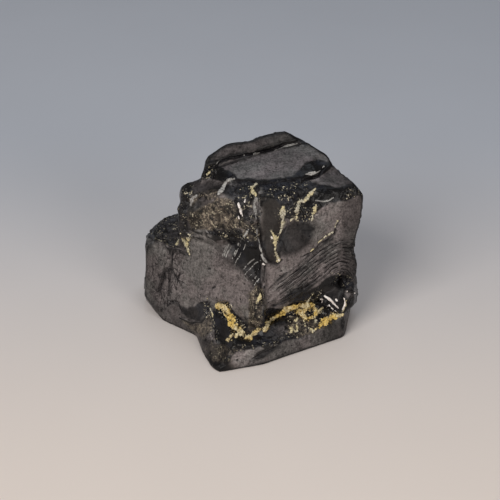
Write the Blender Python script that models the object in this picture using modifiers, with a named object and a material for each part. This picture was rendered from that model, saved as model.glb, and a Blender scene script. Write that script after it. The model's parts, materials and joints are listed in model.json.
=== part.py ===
"""Raw shungite specimen: one fractured lump of black carbon rock.

The stone is a stack of cleavage blocks that grew as one piece. Each block is a cube trimmed by
named cleavage planes, the blocks are fused, shallow scoops are struck out of them, and the fused
skin then gets its cracks, flow ridges, rubble and worn edges. Directions are given as seen by
someone standing on the -Y side of the stone: compass 0 faces them, 90 is their right (+X), 180 is
the far side and -90 their left; lean is how far a facet tips up towards the sky, in degrees.
Driving dimensions are in millimetres.
"""

import math

import bmesh
import bpy
import numpy as np
from mathutils import Matrix, Vector

MM = 0.001
NODE = "shungite_stone"

BLANK_EDGE = 200.0        # cube that every cleavage block is trimmed from
SKIN_PITCH = 0.55         # spacing of the fused skin's points
TRIANGLE_BUDGET = 9400    # faces kept on the finished solid

# Cleavage planes of each block: (compass, lean, reach from the origin)
BLOCKS = {
    "left_shoulder": {
        "face": (-35, 12, 17.4), "shoulder": (-60, 64, 31.2), "end": (-88, 4, 31.0),
        "end_bevel": (-82, 40, 35.2), "end_undercut": (-60, -22, 22.1), "far_side": (172, 12, 17.2),
        "far_corner": (-138, 14, 31.6), "inner": (90, 0, -10.0), "seat": (0, -90, 0.4),
        "crown": (50, 84, 22.1),
    },
    "main_left": {
        "face": (-35, 12, 17.4), "undercut": (-29, -14, 12.7), "top": (-20, 80, 35.0),
        "left_bevel": (-75, 22, 25.3), "end": (-95, 0, 24.7), "inner": (90, 0, 4.0),
        "far_side": (-172, 3, 21.8), "far_corner": (-132, 10, 28.2), "far_bevel": (-150, 45, 38.6),
        "seat": (0, -90, 0.4),
    },
    "main_right": {
        "face": (25, 7, 18.9), "brow": (22, 36, 34.9), "shoulder": (40, 84, 45.8),
        "dished": (14, 24, 26.6), "end": (88, -2, 29.3), "end_undercut": (80, -15, 26.1),
        "end_bevel": (82, 35, 48.4), "far_bevel": (121, 30, 43.1), "inner": (-90, 0, -2.5),
        "far_side": (165, 4, 25.5), "far_corner": (125, 2, 28.4), "seat": (0, -90, 0.4),
        "far_cap": (165, 70, 47.6), "undercut": (26, -12, 13.2),
    },
    "rough_knuckle": {
        "face": (-33, 20, 22.9), "top": (-25, 55, 38.8), "end": (-92, 4, 21.6), "inner": (85, 0, 3.1),
        "cap": (-80, 78, 44.2), "end_bevel": (-78, 45, 42.0), "undercut": (-18, -50, -16.8),
        "far_side": (-170, 8, 13.6), "far_corner": (-135, 20, 29.0),
    },
    "top_slab": {
        "top": (-5, 80, 45.8), "face": (2, 10, 9.5), "left_face": (-40, 30, 26.7),
        "right_face": (40, 22, 26.4), "right_end": (104, 25, 40.8), "far_bevel": (130, 35, 45.4),
        "left_end": (-90, 6, 17.2), "left_corner": (-122, 10, 21.9), "far_side": (-158, 8, 17.5),
        "underside": (0, -90, -36.0),
    },
    "back_slab": {
        "face": (18, 45, 28.1), "crest": (-153, 59, 49.5), "left_end": (-132, 30, 35.6),
        "left_low": (-105, 8, 19.6), "right_end": (88, 35, 38.6), "inner": (22, -5, -11.0),
        "far_side": (168, 17, 32.0), "underside": (0, -90, -36.0),
    },
    "foot": {
        "face": (27, 10, 22.0), "nose": (15, 12, 22.9), "top": (30, 59, 16.2),
        "left_end": (-74, 6, 17.7), "right_end": (78, 8, 28.5), "left_corner": (-40, 6, 25.5),
        "right_corner": (54, 4, 28.0), "left_flake": (-66, 26, 17.7), "inner": (150, 0, 20.9),
        "far_side": (180, 0, 7.7), "cap": (-60, 75, 14.6), "seat": (0, -90, 0.4),
    },
    "knob": {
        "face": (30, 20, 22.6), "top": (60, 60, 25.3), "right_end": (80, 10, 31.5),
        "left_end": (-60, 20, -10.5), "undercut": (50, -35, 17.5), "inner": (150, 0, 16.7),
        "far_side": (180, 0, 4.7), "left_bevel": (-10, 50, 12.5), "underside": (0, -80, -5.1),
    },
}

# Shallow spherical fracture scars: (block, point on its skin, compass, lean, radius, depth)
SCOOPS = {
    "dish": ("main_right", (12.6, -10.6, 33.9), 14, 24, 15.0, 1.3),
    "crack_hollow": ("main_left", (1.6, -14.9, 30.2), -35, 12, 15.0, 1.2),
    "overhang": ("main_left", (-5.2, -10.6, 32.0), -30, 0, 6.0, 2.2),
    "knuckle_arch": ("rough_knuckle", (-5.2, -10.6, 32.0), -30, 0, 6.0, 2.2),
    "slab_chip": ("top_slab", (20.5, 5.9, 47.8), 20, 72, 9.0, 1.3),
    "slab_left_chip": ("top_slab", (-10.6, 2.3, 46.2), -40, 40, 7.0, 1.5),
    "pit": ("main_right", (25.3, -6.2, 15.6), 30, 0, 2.6, 2.2),
    "foot_flake": ("foot", (-7.6, -18.9, 8.6), -52, 18, 12.0, 1.4),
    "foot_dish": ("foot", (2.0, -18.9, 9.0), 10, 62, 14.0, 1.2),
    "heel_flake": ("foot", (-12.6, -19.5, 4.2), -74, 15, 6.0, 0.9),
    "brow_chip": ("main_right", (17.3, -5.7, 43.6), -10, 45, 9.0, 1.2),
    "back_shell": ("main_right", (10.4, 20.9, 20.0), 165, 4, 28.0, 3.0),
    "back_spall": ("main_left", (-11.6, 18.4, 12.0), -172, 3, 22.0, 2.4),
    "back_flake": ("main_left", (-8.6, 17.9, 30.0), -165, 14, 16.0, 2.0),
    "end_shell": ("main_right", (29.4, 4.4, 27.0), 88, -4, 24.0, 1.2),
    "end_flake": ("main_right", (25.9, 11.4, 14.0), 110, 0, 18.0, 1.8),
    "left_shell": ("left_shoulder", (-30.6, 7.7, 12.0), -88, 4, 20.0, 0.7),
    "crest_chip": ("back_slab", (-2.6, 13.9, 47.5), -165, 40, 12.0, 0.5),
}

# Rounded lumps: (point at the middle, compass, lean, half-thickness, half-width, half-height)
LUMPS = {
    "lens": ((23.3, -8.6, 11.4), 20, 35, 1.0, 3.8, 2.2),
    "knob_cap": ((28.0, -6.0, 10.9), 45, 30, 1.5, 1.9, 2.2),
    "column": ((2.2, -17.9, 14.6), -5, 5, 2.0, 1.7, 4.0),
    "seam_bead": ((1.4, -6.5, 43.6), -5, 30, 1.7, 1.5, 3.4),
    "slab_nub": ((12.4, 15.1, 49.0), 120, 40, 1.0, 1.4, 1.0),
    "foot_hump": ((8.7, -15.2, 7.6), 20, 60, 1.4, 3.6, 2.2),
}

# Cracks as routes over the skin: (half-width, depth, points)
CRACKS = {
    "seam": (1.0, 1.3, [(2.5, -5.5, 44.0), (2.7, -12.2, 35.6), (3.1, -17.1, 24.5),
                        (3.4, -19.2, 17.0)]),
    "slab_joint": (0.9, 1.5, [(-12.6, 3.1, 46.6), (1.1, 9.2, 48.1), (15.4, 14.9, 49.3)]),
    "slab_lip": (0.8, 0.9, [(13.4, 0.1, 45.2), (16.7, 1.4, 45.0), (20.0, 4.0, 45.0),
                            (22.7, 7.6, 45.1)]),
    "ledge": (0.9, 0.9, [(-3.3, -20.5, 9.2), (3.3, -17.4, 8.8), (14.0, -9.4, 9.8),
                         (27.2, -2.4, 9.4)]),
    "knuckle_joint": (0.9, 1.0, [(-16.5, -4.3, 31.2), (-10.5, -8.2, 31.0)]),
    "foot_split": (0.6, 0.5, [(-0.5, -23.9, 2.6), (4.5, -22.5, 5.0), (8.0, -20.5, 6.6)]),
    "back_joint": (0.8, 1.2, [(-21.6, 12.4, 27.0), (-7.6, 18.9, 31.5), (9.4, 21.4, 30.0),
                              (24.4, 14.9, 35.0)]),
    "back_split": (0.7, 1.0, [(4.4, 22.4, 30.0), (1.4, 22.9, 16.0), (6.4, 23.4, 2.0)]),
    "end_split": (0.7, 0.9, [(29.9, 9.4, 38.0), (28.9, 0.9, 22.0), (27.9, 3.4, 6.0)]),
}

# Patches of broken, lumpy rock: (middle, reach, swell height, swell spacing)
RUBBLE = {
    "knuckle": ((-8.5, -6.3, 37.6), 12.0, 1.1, 3.6),
    "knuckle_end": ((-17.5, 0.7, 36.0), 8.0, 0.9, 3.0),
    "shoulder": ((-24.5, 5.7, 24.5), 9.0, 0.8, 2.8),
    "ledge": ((19.5, -8.3, 8.4), 7.5, 0.7, 2.4),
    "heel": ((-9.0, -21.3, 3.5), 6.5, 0.7, 2.6),
    "column": ((2.4, -18.3, 14.0), 5.0, 0.6, 1.8),
    "brow": ((14.5, -6.9, 41.0), 6.5, 0.5, 2.0),
    "far_side": ((-6.0, 19.2, 33.0), 13.0, 1.1, 4.0),
    "far_ridge": ((-1.6, 21.9, 16.0), 15.0, 0.8, 4.6),
    "far_foot": ((19.4, 16.9, 8.0), 13.0, 1.0, 3.8),
}

# Flow ridges: lines of equal distance from one core, seen on the main right face
RIDGE_CORE = [(0.5, -20.3, 3.7), (25.0, -7.1, 16.2)]
RIDGE_FACET = ("main_right", "face")
RIDGE_SPAN = (3.5, 15.5)
RIDGE_PITCH = 2.1
RIDGE_HEIGHT = 0.30
RIDGE_SKIN = 1.0          # how far from the facet's plane a ridge may lie
RIDGE_FADE = 2.0          # width of the rim where the ridges die out
RIDGE_CREST = 0.75        # share of the pitch that a ridge climbs before it drops
RIDGE_WANDER = 0.7        # how far a ridge strays from its distance
RIDGE_WANDER_PITCH = 6.0

CRACK_WANDER = 0.5        # how far a crack strays from its route
CRACK_WANDER_PITCH = 3.0

WEAR_ROUNDS = 3           # passes of edge wear
WEAR_SHARE = 0.6          # share of the way to its neighbours that a worn point moves
WEAR_PATCH = 5.0          # size of a patch that wears alike
EDGE_WEAR = 0.12          # wear that marks a point as lying on an edge
EDGE_SPREAD = 3           # passes that spread the edge mark to the points beside it
CHIP_HEIGHT = 0.35        # unevenness of the broken edges
CHIP_PITCH = 2.6
SEAT_BAND = (0.3, 1.8)    # heights between which the relief fades in above the seat

BASE_COLOUR = (0.045, 0.042, 0.044, 1.0)
METALLIC = 0.35
ROUGHNESS = 0.42
SHARP_ANGLE = math.radians(30.0)


def remove_everything():
    """Empty the scene that Blender opens with."""
    for thing in list(bpy.data.objects):
        bpy.data.objects.remove(thing, do_unlink=True)


def new_collection(name, hidden=False):
    """Make a collection under the scene; a hidden one holds cutters and guides."""
    group = bpy.data.collections.new(name)
    bpy.context.scene.collection.children.link(group)
    group.hide_render = hidden
    return group


def facing(compass, lean):
    """Unit vector that points to a compass bearing and leans up towards the sky."""
    bearing, rise = math.radians(compass), math.radians(lean)
    return Vector((math.sin(bearing) * math.cos(rise), -math.cos(bearing) * math.cos(rise),
                   math.sin(rise)))


def add_guide(name, bm, group):
    """Turn a bmesh into a wire object that only guides the making."""
    mesh = bpy.data.meshes.new(name)
    bm.to_mesh(mesh)
    bm.free()
    guide = bpy.data.objects.new(name, mesh)
    guide.hide_render = True
    guide.display_type = "WIRE"
    group.objects.link(guide)
    return guide


def cleavage_block(name, facets, group):
    """Trim a cube by each cleavage plane and close the cut."""
    bm = bmesh.new()
    bmesh.ops.create_cube(bm, size=BLANK_EDGE * MM)
    for compass, lean, reach in facets.values():
        normal = facing(compass, lean)
        geometry = bm.verts[:] + bm.edges[:] + bm.faces[:]
        cut = bmesh.ops.bisect_plane(bm, geom=geometry, plane_co=normal * reach * MM,
                                     plane_no=normal, clear_outer=True)
        rim = [item for item in cut["geom_cut"] if isinstance(item, bmesh.types.BMEdge)]
        bmesh.ops.edgeloop_fill(bm, edges=rim)
    bmesh.ops.recalc_face_normals(bm, faces=bm.faces)
    return add_guide("block_" + name, bm, group)


def scoop_ball(name, point, compass, lean, radius, depth, group):
    """Ball that sinks its cap to the given depth below a point on the skin."""
    centre = Vector(point) + facing(compass, lean) * (radius - depth)
    bm = bmesh.new()
    bmesh.ops.create_icosphere(bm, subdivisions=5, radius=radius * MM,
                               matrix=Matrix.Translation(centre * MM))
    return add_guide("scoop_" + name, bm, group)


def lump(name, point, compass, lean, half_sizes, group):
    """Ellipsoid that swells out of the skin towards a bearing."""
    outward = facing(compass, lean)
    turn = outward.to_track_quat("X", "Z").to_matrix().to_4x4()
    sizes = Matrix.Diagonal(Vector(half_sizes) * MM).to_4x4()
    place = Matrix.Translation(Vector(point) * MM) @ turn @ sizes
    bm = bmesh.new()
    bmesh.ops.create_icosphere(bm, subdivisions=4, radius=1.0, matrix=place)
    return add_guide("lump_" + name, bm, group)


def strike(block, ball):
    """Cut a scoop's ball out of a block."""
    step = block.modifiers.new(ball.name, "BOOLEAN")
    step.operation = "DIFFERENCE"
    step.solver = "EXACT"
    step.object = ball


def evaluated_mesh(thing, name):
    """Mesh of an object with its modifiers worked in."""
    bpy.context.view_layer.update()
    view = bpy.context.evaluated_depsgraph_get()
    mesh = bpy.data.meshes.new_from_object(thing.evaluated_get(view))
    mesh.name = name
    return mesh


def fused_skin(guides):
    """Strike the scoops out of the blocks, fuse blocks and lumps, and cover them with even quads."""
    blocks = {name: cleavage_block(name, facets, guides) for name, facets in BLOCKS.items()}
    for name, (block, point, compass, lean, radius, depth) in SCOOPS.items():
        ball = scoop_ball(name, point, compass, lean, radius, depth, guides)
        strike(blocks[block], ball)
    bodies = list(blocks.values())
    for name, (point, compass, lean, *half_sizes) in LUMPS.items():
        bodies.append(lump(name, point, compass, lean, half_sizes, guides))
    crowd = bmesh.new()
    for body in bodies:
        crowd.from_mesh(evaluated_mesh(body, body.name))
    whole = add_guide("fused_blocks", crowd, guides)
    skin = whole.modifiers.new("even_skin", "REMESH")
    skin.mode = "VOXEL"
    skin.voxel_size = SKIN_PITCH * MM
    return evaluated_mesh(whole, NODE)


def read_points(mesh):
    """Vertex positions as an array of rows, in millimetres."""
    points = np.empty(len(mesh.vertices) * 3)
    mesh.vertices.foreach_get("co", points)
    return points.reshape(-1, 3) / MM


def read_normals(mesh):
    """Vertex normals as an array of rows."""
    normals = np.empty(len(mesh.vertices) * 3)
    mesh.vertices.foreach_get("normal", normals)
    return normals.reshape(-1, 3)


def write_points(mesh, points):
    """Put an array of positions in millimetres back into the mesh."""
    mesh.vertices.foreach_set("co", (points * MM).ravel())
    mesh.update()


def smooth_noise(points, pitch, seed):
    """Random field in -1..1: seeded values on a cubic lattice, blended by smooth steps."""
    side = 32
    lattice = np.random.default_rng(seed).uniform(-1.0, 1.0, (side, side, side))
    cell = points / pitch
    low = np.floor(cell).astype(int)
    part = cell - low
    part = part * part * (3.0 - 2.0 * part)
    total = np.zeros(len(points))
    for corner in np.ndindex(2, 2, 2):
        weight = np.prod(np.where(corner, part, 1.0 - part), axis=1)
        x, y, z = ((low + corner) % side).T
        total += weight * lattice[x, y, z]
    return total


def falloff(distance, reach):
    """1 at no distance, falling smoothly to 0 at the reach."""
    rest = np.clip(1.0 - distance / reach, 0.0, 1.0)
    return rest * rest * (3.0 - 2.0 * rest)


def distance_to_route(points, route):
    """Shortest distance from each point to a chain of straight legs."""
    nearest = np.full(len(points), np.inf)
    for start, end in zip(route[:-1], route[1:]):
        start, leg = np.array(start), np.subtract(end, start)
        along = np.clip((points - start) @ leg / (leg @ leg), 0.0, 1.0)
        gap = np.linalg.norm(points - start - along[:, None] * leg, axis=1)
        nearest = np.minimum(nearest, gap)
    return nearest


def rubble_height(points):
    """Swelling of the lumpy patches: two sizes of noise inside each patch's reach."""
    height = np.zeros(len(points))
    for seed, (middle, reach, swell, pitch) in enumerate(RUBBLE.values(), start=11):
        mask = falloff(np.linalg.norm(points - middle, axis=1), reach)
        coarse = smooth_noise(points, pitch, seed)
        fine = smooth_noise(points, pitch * 0.5, seed + 100)
        height += swell * np.sqrt(mask) * (coarse + 0.4 * fine)
    return height


def crack_depth(points):
    """Depth of the V-shaped cracks, wandering a little from their routes."""
    wander = np.stack([smooth_noise(points, CRACK_WANDER_PITCH, seed) for seed in (41, 42, 43)],
                      axis=1)
    depth = np.zeros(len(points))
    for half_width, deep, route in CRACKS.values():
        gap = distance_to_route(points + CRACK_WANDER * wander, route)
        depth = np.maximum(depth, deep * np.clip(1.0 - gap / half_width, 0.0, 1.0))
    return depth


def ridge_height(points):
    """Flow ridges: saw-shaped waves round the ridge core, fading at the edge of their span."""
    block, facet = RIDGE_FACET
    compass, lean, reach = BLOCKS[block][facet]
    off_plane = np.abs(points @ np.array(facing(compass, lean)) - reach)
    radius = distance_to_route(points, RIDGE_CORE)
    radius = radius + RIDGE_WANDER * smooth_noise(points, RIDGE_WANDER_PITCH, 51)
    low, high = RIDGE_SPAN
    inside = np.clip(np.minimum(radius - low, high - radius) / RIDGE_FADE, 0.0, 1.0)
    phase = (radius / RIDGE_PITCH) % 1.0
    saw = np.minimum(phase / RIDGE_CREST, (1.0 - phase) / (1.0 - RIDGE_CREST))
    return RIDGE_HEIGHT * (saw - 0.5) * inside * falloff(off_plane, RIDGE_SKIN)


def edge_ends(mesh):
    """Pairs of vertex numbers that the edges join."""
    ends = np.empty(len(mesh.edges) * 2, dtype=np.int64)
    mesh.edges.foreach_get("vertices", ends)
    return ends.reshape(-1, 2)


def neighbour_mean(points, ends):
    """Mean position of each vertex's neighbours."""
    first, second = ends.T
    count = np.bincount(ends.ravel(), minlength=len(points))
    total = np.stack([
        np.bincount(first, points[second, axis], len(points))
        + np.bincount(second, points[first, axis], len(points)) for axis in range(3)], axis=1)
    return total / count[:, None]


def worn(points, ends):
    """Edges rounded by relaxing the skin, more in some patches than in others."""
    strength = 0.5 + 0.5 * smooth_noise(points, WEAR_PATCH, 61)
    for _ in range(WEAR_ROUNDS):
        pull = neighbour_mean(points, ends) - points
        points = points + (strength * WEAR_SHARE)[:, None] * pull
    return points


def carve(mesh):
    """Work the relief into the skin: worn edges, chips, rubble, ridges and cracks."""
    ends = edge_ends(mesh)
    crisp = read_points(mesh)
    points = worn(crisp, ends)
    bent = np.linalg.norm(points - crisp, axis=1)
    for _ in range(EDGE_SPREAD):
        bent = neighbour_mean(bent[:, None].repeat(3, axis=1), ends)[:, 0]
    write_points(mesh, points)
    normals = read_normals(mesh)
    edge_mask = np.clip(bent / EDGE_WEAR, 0.0, 1.0)
    height = CHIP_HEIGHT * edge_mask * smooth_noise(points, CHIP_PITCH, 71)
    height = height + rubble_height(points) + ridge_height(points) - crack_depth(points)
    low, high = SEAT_BAND
    clear_of_seat = np.clip((points[:, 2] - low) / (high - low), 0.0, 1.0)
    write_points(mesh, points + (height * clear_of_seat)[:, None] * normals)


def thinned(mesh, guides):
    """Collapse the skin to the triangle budget, keeping the relief."""
    carrier = bpy.data.objects.new("fine_skin", mesh)
    carrier.hide_render = True
    guides.objects.link(carrier)
    mesh.calc_loop_triangles()
    step = carrier.modifiers.new("thin", "DECIMATE")
    step.ratio = TRIANGLE_BUDGET / len(mesh.loop_triangles)
    step.use_collapse_triangulate = True
    return evaluated_mesh(carrier, NODE)


def seated(mesh):
    """Rub the underside flat, set it at height 0 and centre the stone above the origin."""
    bm = bmesh.new()
    bm.from_mesh(mesh)
    cut = bmesh.ops.bisect_plane(bm, geom=bm.verts[:] + bm.edges[:] + bm.faces[:],
                                 plane_co=(0.0, 0.0, 0.0), plane_no=(0.0, 0.0, -1.0),
                                 clear_outer=True)
    rim = [item for item in cut["geom_cut"] if isinstance(item, bmesh.types.BMEdge)]
    bmesh.ops.edgeloop_fill(bm, edges=rim)
    bmesh.ops.recalc_face_normals(bm, faces=bm.faces)
    bmesh.ops.triangulate(bm, faces=bm.faces)
    spots = np.array([vert.co for vert in bm.verts])
    middle = (spots.min(axis=0) + spots.max(axis=0)) / 2.0
    print("middle before centring, mm:", np.round(middle / MM, 3))
    bmesh.ops.translate(bm, verts=bm.verts, vec=(-middle[0], -middle[1], 0.0))
    bm.to_mesh(mesh)
    bm.free()


def shungite_material():
    """Dark, slightly metallic carbon with a satin sheen."""
    material = bpy.data.materials.new("shungite")
    material.use_nodes = True
    shader = material.node_tree.nodes["Principled BSDF"]
    shader.inputs["Base Color"].default_value = BASE_COLOUR
    shader.inputs["Metallic"].default_value = METALLIC
    shader.inputs["Roughness"].default_value = ROUGHNESS
    return material


def build_stone():
    """Make the stone as one named object."""
    guides = new_collection("guides", hidden=True)
    specimen = new_collection("shungite_specimen")
    fine = fused_skin(guides)
    carve(fine)
    mesh = thinned(fine, guides)
    seated(mesh)
    mesh.materials.clear()
    mesh.materials.append(shungite_material())
    mesh.shade_smooth()
    mesh.set_sharp_from_angle(angle=SHARP_ANGLE)
    stone = bpy.data.objects.new(NODE, mesh)
    specimen.objects.link(stone)
    print(NODE, len(mesh.polygons), "triangles")
    return stone


remove_everything()
build_stone()
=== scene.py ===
# %% [markdown]
# # Dressing a shungite stone
#
# The stone is one lump of black carbon rock, about 6 cm across. Its CAD solid already has the
# cleavage faces, ledges and cracks in their places, and this script gives it the surface that a hand
# lens would show: satin cleavage faces, dark glassy breaks, gritty patches, hairline cracks, and the
# yellow and cream minerals that grew on it later.
#
# Lengths are worked out in millimetres, because that is how one thinks of a stone this small. They
# become metres only where a mesh or a light is made.

# %% Load the solid that everything sits on
import json
import math

import bmesh
import bpy
import numpy as np
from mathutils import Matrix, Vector
from mathutils.bvhtree import BVHTree

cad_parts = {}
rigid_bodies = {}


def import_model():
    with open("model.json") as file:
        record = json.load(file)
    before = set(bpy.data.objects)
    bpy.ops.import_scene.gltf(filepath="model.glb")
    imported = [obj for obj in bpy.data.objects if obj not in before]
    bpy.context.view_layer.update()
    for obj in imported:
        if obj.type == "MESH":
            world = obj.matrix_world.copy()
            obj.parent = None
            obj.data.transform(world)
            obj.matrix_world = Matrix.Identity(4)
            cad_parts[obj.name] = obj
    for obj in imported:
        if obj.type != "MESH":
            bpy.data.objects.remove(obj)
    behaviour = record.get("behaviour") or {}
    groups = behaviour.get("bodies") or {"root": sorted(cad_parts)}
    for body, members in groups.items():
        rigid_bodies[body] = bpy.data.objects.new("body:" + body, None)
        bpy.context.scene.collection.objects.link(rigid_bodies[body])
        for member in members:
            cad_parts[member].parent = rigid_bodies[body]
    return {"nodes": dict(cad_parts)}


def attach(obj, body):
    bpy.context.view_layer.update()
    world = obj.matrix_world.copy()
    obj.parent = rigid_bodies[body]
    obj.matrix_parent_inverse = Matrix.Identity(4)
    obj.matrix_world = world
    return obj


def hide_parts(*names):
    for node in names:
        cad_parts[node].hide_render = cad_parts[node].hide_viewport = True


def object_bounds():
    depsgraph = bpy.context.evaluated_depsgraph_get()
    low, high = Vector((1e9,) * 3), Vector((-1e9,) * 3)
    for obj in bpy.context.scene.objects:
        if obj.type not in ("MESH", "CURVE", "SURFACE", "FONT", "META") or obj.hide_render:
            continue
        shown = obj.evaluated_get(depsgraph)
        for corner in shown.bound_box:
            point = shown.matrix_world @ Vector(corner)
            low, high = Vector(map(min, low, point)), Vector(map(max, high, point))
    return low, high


for leftover in list(bpy.data.objects):
    bpy.data.objects.remove(leftover)
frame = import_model()
cad_low, cad_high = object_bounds()
MM = 0.001
STONE = "shungite_stone"
box_low, box_high = (np.array(corner) / MM for corner in (cad_low, cad_high))
print("the solid measures", np.round(box_high - box_low, 1), "mm")

# %% [markdown]
# ## The camera, and a way to point at the stone
#
# The camera looks down on the stone at 35 degrees from a little over a hand's length away. It comes
# first, because the marks on the stone are easiest to place by pointing at them. A place in the
# picture is two numbers, from the left and from the top, in a frame of 500 by 500. From it a ray
# leaves the camera, and where the ray meets the stone is a real point in millimetres. The mark then
# belongs to the stone and looks right from every side.

# %% Camera
FRAME_PIXELS = 500
PIXELS_PER_MM = 3.6                      # at the point that the camera looks at
CAMERA_DISTANCE = 280.0
CAMERA_RISE = math.radians(35.0)
CAMERA_AIM = np.array((0.02, -1.95, 24.0))
SENSOR = 36.0
NEAREST_SEEN = 0.01                      # in metres

focal_pixels = CAMERA_DISTANCE * PIXELS_PER_MM
look = np.array((0.0, math.cos(CAMERA_RISE), -math.sin(CAMERA_RISE)))
across = np.array((1.0, 0.0, 0.0))
upward = np.cross(across, look)
eye = CAMERA_AIM - CAMERA_DISTANCE * look

camera = bpy.data.objects.new("camera", bpy.data.cameras.new("camera"))
camera.data.sensor_width = SENSOR
camera.data.lens = SENSOR * focal_pixels / FRAME_PIXELS
camera.data.clip_start = NEAREST_SEEN
camera.location = eye * MM
camera.rotation_euler = (math.pi / 2 - CAMERA_RISE, 0.0, 0.0)
bpy.context.scene.collection.objects.link(camera)
bpy.context.scene.camera = camera
print("lens", round(camera.data.lens, 1), "mm, eye at", np.round(eye, 1))


# %% Pointing at the stone, and seeing where a point lands in the picture
def in_picture(points):
    """Where points land in the picture: sideways and upward parts over depth, times the focal length."""
    away = points - eye
    depth = away @ look
    right, high = away @ across / depth, away @ upward / depth
    return np.stack([FRAME_PIXELS / 2 + focal_pixels * right,
                     FRAME_PIXELS / 2 - focal_pixels * high], axis=1)


SAME_PLACE = 1e-6                        # corners nearer than this, in metres, become one
solid = bmesh.new()
solid.from_mesh(frame["nodes"][STONE].data)
bmesh.ops.remove_doubles(solid, verts=solid.verts, dist=SAME_PLACE)
solid_tree = BVHTree.FromBMesh(solid)


def on_stone(x, y):
    """The point of the stone that shows at (x, y) in the picture, in millimetres."""
    way = look * focal_pixels + across * (x - FRAME_PIXELS / 2) + upward * (FRAME_PIXELS / 2 - y)
    hit = solid_tree.ray_cast(Vector(eye * MM), Vector(way).normalized())[0]
    if hit is None:
        hit = solid_tree.find_nearest(Vector((eye + way * CAMERA_DISTANCE / focal_pixels) * MM))[0]
    return np.array(hit) / MM


print("the middle of the picture is", np.round(on_stone(250, 250), 1), "mm")

# %% [markdown]
# ## Noise, the maker of everything uneven
#
# Nothing on a broken stone is even, so most of what follows is noise: random numbers on a coarse
# grid, blended smoothly in between. Two more fields start from scattered seeds, as a Voronoi pattern
# does. Broken rock is made of small flat facets, so there each seed's cell has its own tilt. A grown
# crust is made of rounded knobs, so there each seed is the top of a bump.

# %% Smooth noise
LATTICE_SIDE = 32                        # random numbers along each axis before they repeat


def ramp(value, low, high):
    """0 below low, 1 above high, and a smooth step between."""
    part = np.clip((value - low) / (high - low), 0.0, 1.0)
    return part * part * (3.0 - 2.0 * part)


def noise(points, pitch, seed):
    """Field in -1..1: random values on a lattice of the given pitch, blended by smooth steps."""
    side = LATTICE_SIDE
    lattice = np.random.default_rng(seed).uniform(-1.0, 1.0, (side, side, side))
    cell = points / pitch
    low = np.floor(cell).astype(int)
    part = cell - low
    part = part * part * (3.0 - 2.0 * part)
    total = np.zeros(len(points))
    for corner in np.ndindex(2, 2, 2):
        weight = np.prod(np.where(corner, part, 1.0 - part), axis=1)
        x, y, z = ((low + corner) % side).T
        total += weight * lattice[x, y, z]
    return total


def layered(points, layers, under=0.0):
    """Noises of several sizes, (height, pitch, seed) each, added to what lies under them."""
    return sum((height * noise(points, pitch, seed) for height, pitch, seed in layers), under)


WANDER_PITCH, WANDER_SEEDS = 1.3, (511, 512, 513)


def wandered(points, amount, pitch=WANDER_PITCH, seeds=WANDER_SEEDS):
    """Points shifted by a small noise, so that a line drawn near them comes out ragged."""
    return points + amount * np.stack([noise(points, pitch, seed) for seed in seeds], axis=1)


corners = np.array([box_low, box_high])
print("noise at two corners of the box:", np.round(noise(corners, 4.0, 1), 2))

# %% Facets and knobs
SEED_SIDE = 16                           # seeds along each axis before they repeat
SEED_ROOM = (0.1, 0.9)                   # where in its cell a seed may lie
FACET_LIMIT = 1.5
KNOB_REACH = 0.9                         # in pitches


def nearest_seed(points, pitch, dice):
    """The way to each point from the nearest of many scattered seeds, and that seed's cell."""
    side = SEED_SIDE
    jitter = dice.uniform(*SEED_ROOM, (side, side, side, 3))
    cell = points / pitch
    low = np.floor(cell).astype(int)
    nearest = np.full(len(points), np.inf)
    way, owner = np.zeros((len(points), 3)), np.zeros((len(points), 3), dtype=int)
    for step in np.ndindex(3, 3, 3):
        home = low + np.array(step) - 1
        gap = cell - home - jitter[tuple((home % side).T)]
        length = (gap * gap).sum(axis=1)
        closer = length < nearest
        nearest = np.where(closer, length, nearest)
        way[closer], owner[closer] = gap[closer], (home % side)[closer]
    return way, owner


def facets(points, pitch, seed):
    """Field in about -1..1 made of flat tilted cells: slope of the nearest seed, times the way to it."""
    dice = np.random.default_rng(seed)
    way, owner = nearest_seed(points, pitch, dice)
    cells = (SEED_SIDE, SEED_SIDE, SEED_SIDE)
    slope = dice.normal(0.0, 1.0, (*cells, 3))[tuple(owner.T)]
    level = dice.uniform(-0.5, 0.5, cells)[tuple(owner.T)]
    return np.clip((slope * way).sum(axis=1) + level, -FACET_LIMIT, FACET_LIMIT)


def knobs(points, pitch, seed):
    """Field in 0..1 of rounded bumps: 1 at the nearest seed, falling to 0 about a pitch away."""
    way, _ = nearest_seed(points, pitch, np.random.default_rng(seed))
    return np.clip(1.0 - np.linalg.norm(way, axis=1) / KNOB_REACH, 0.0, 1.0)


print("facets at the same corners:", np.round(facets(corners, 4.0, 1), 2))

# %% [markdown]
# ## Lines on the stone: cracks, veins, scratches and crust
#
# Everything long and thin is a chain of places in the picture, each with a half-width in
# millimetres. The distance from any point of the stone to such a chain is all that is needed: a
# crack is a groove where the distance is small, and a vein is a film there.

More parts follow.
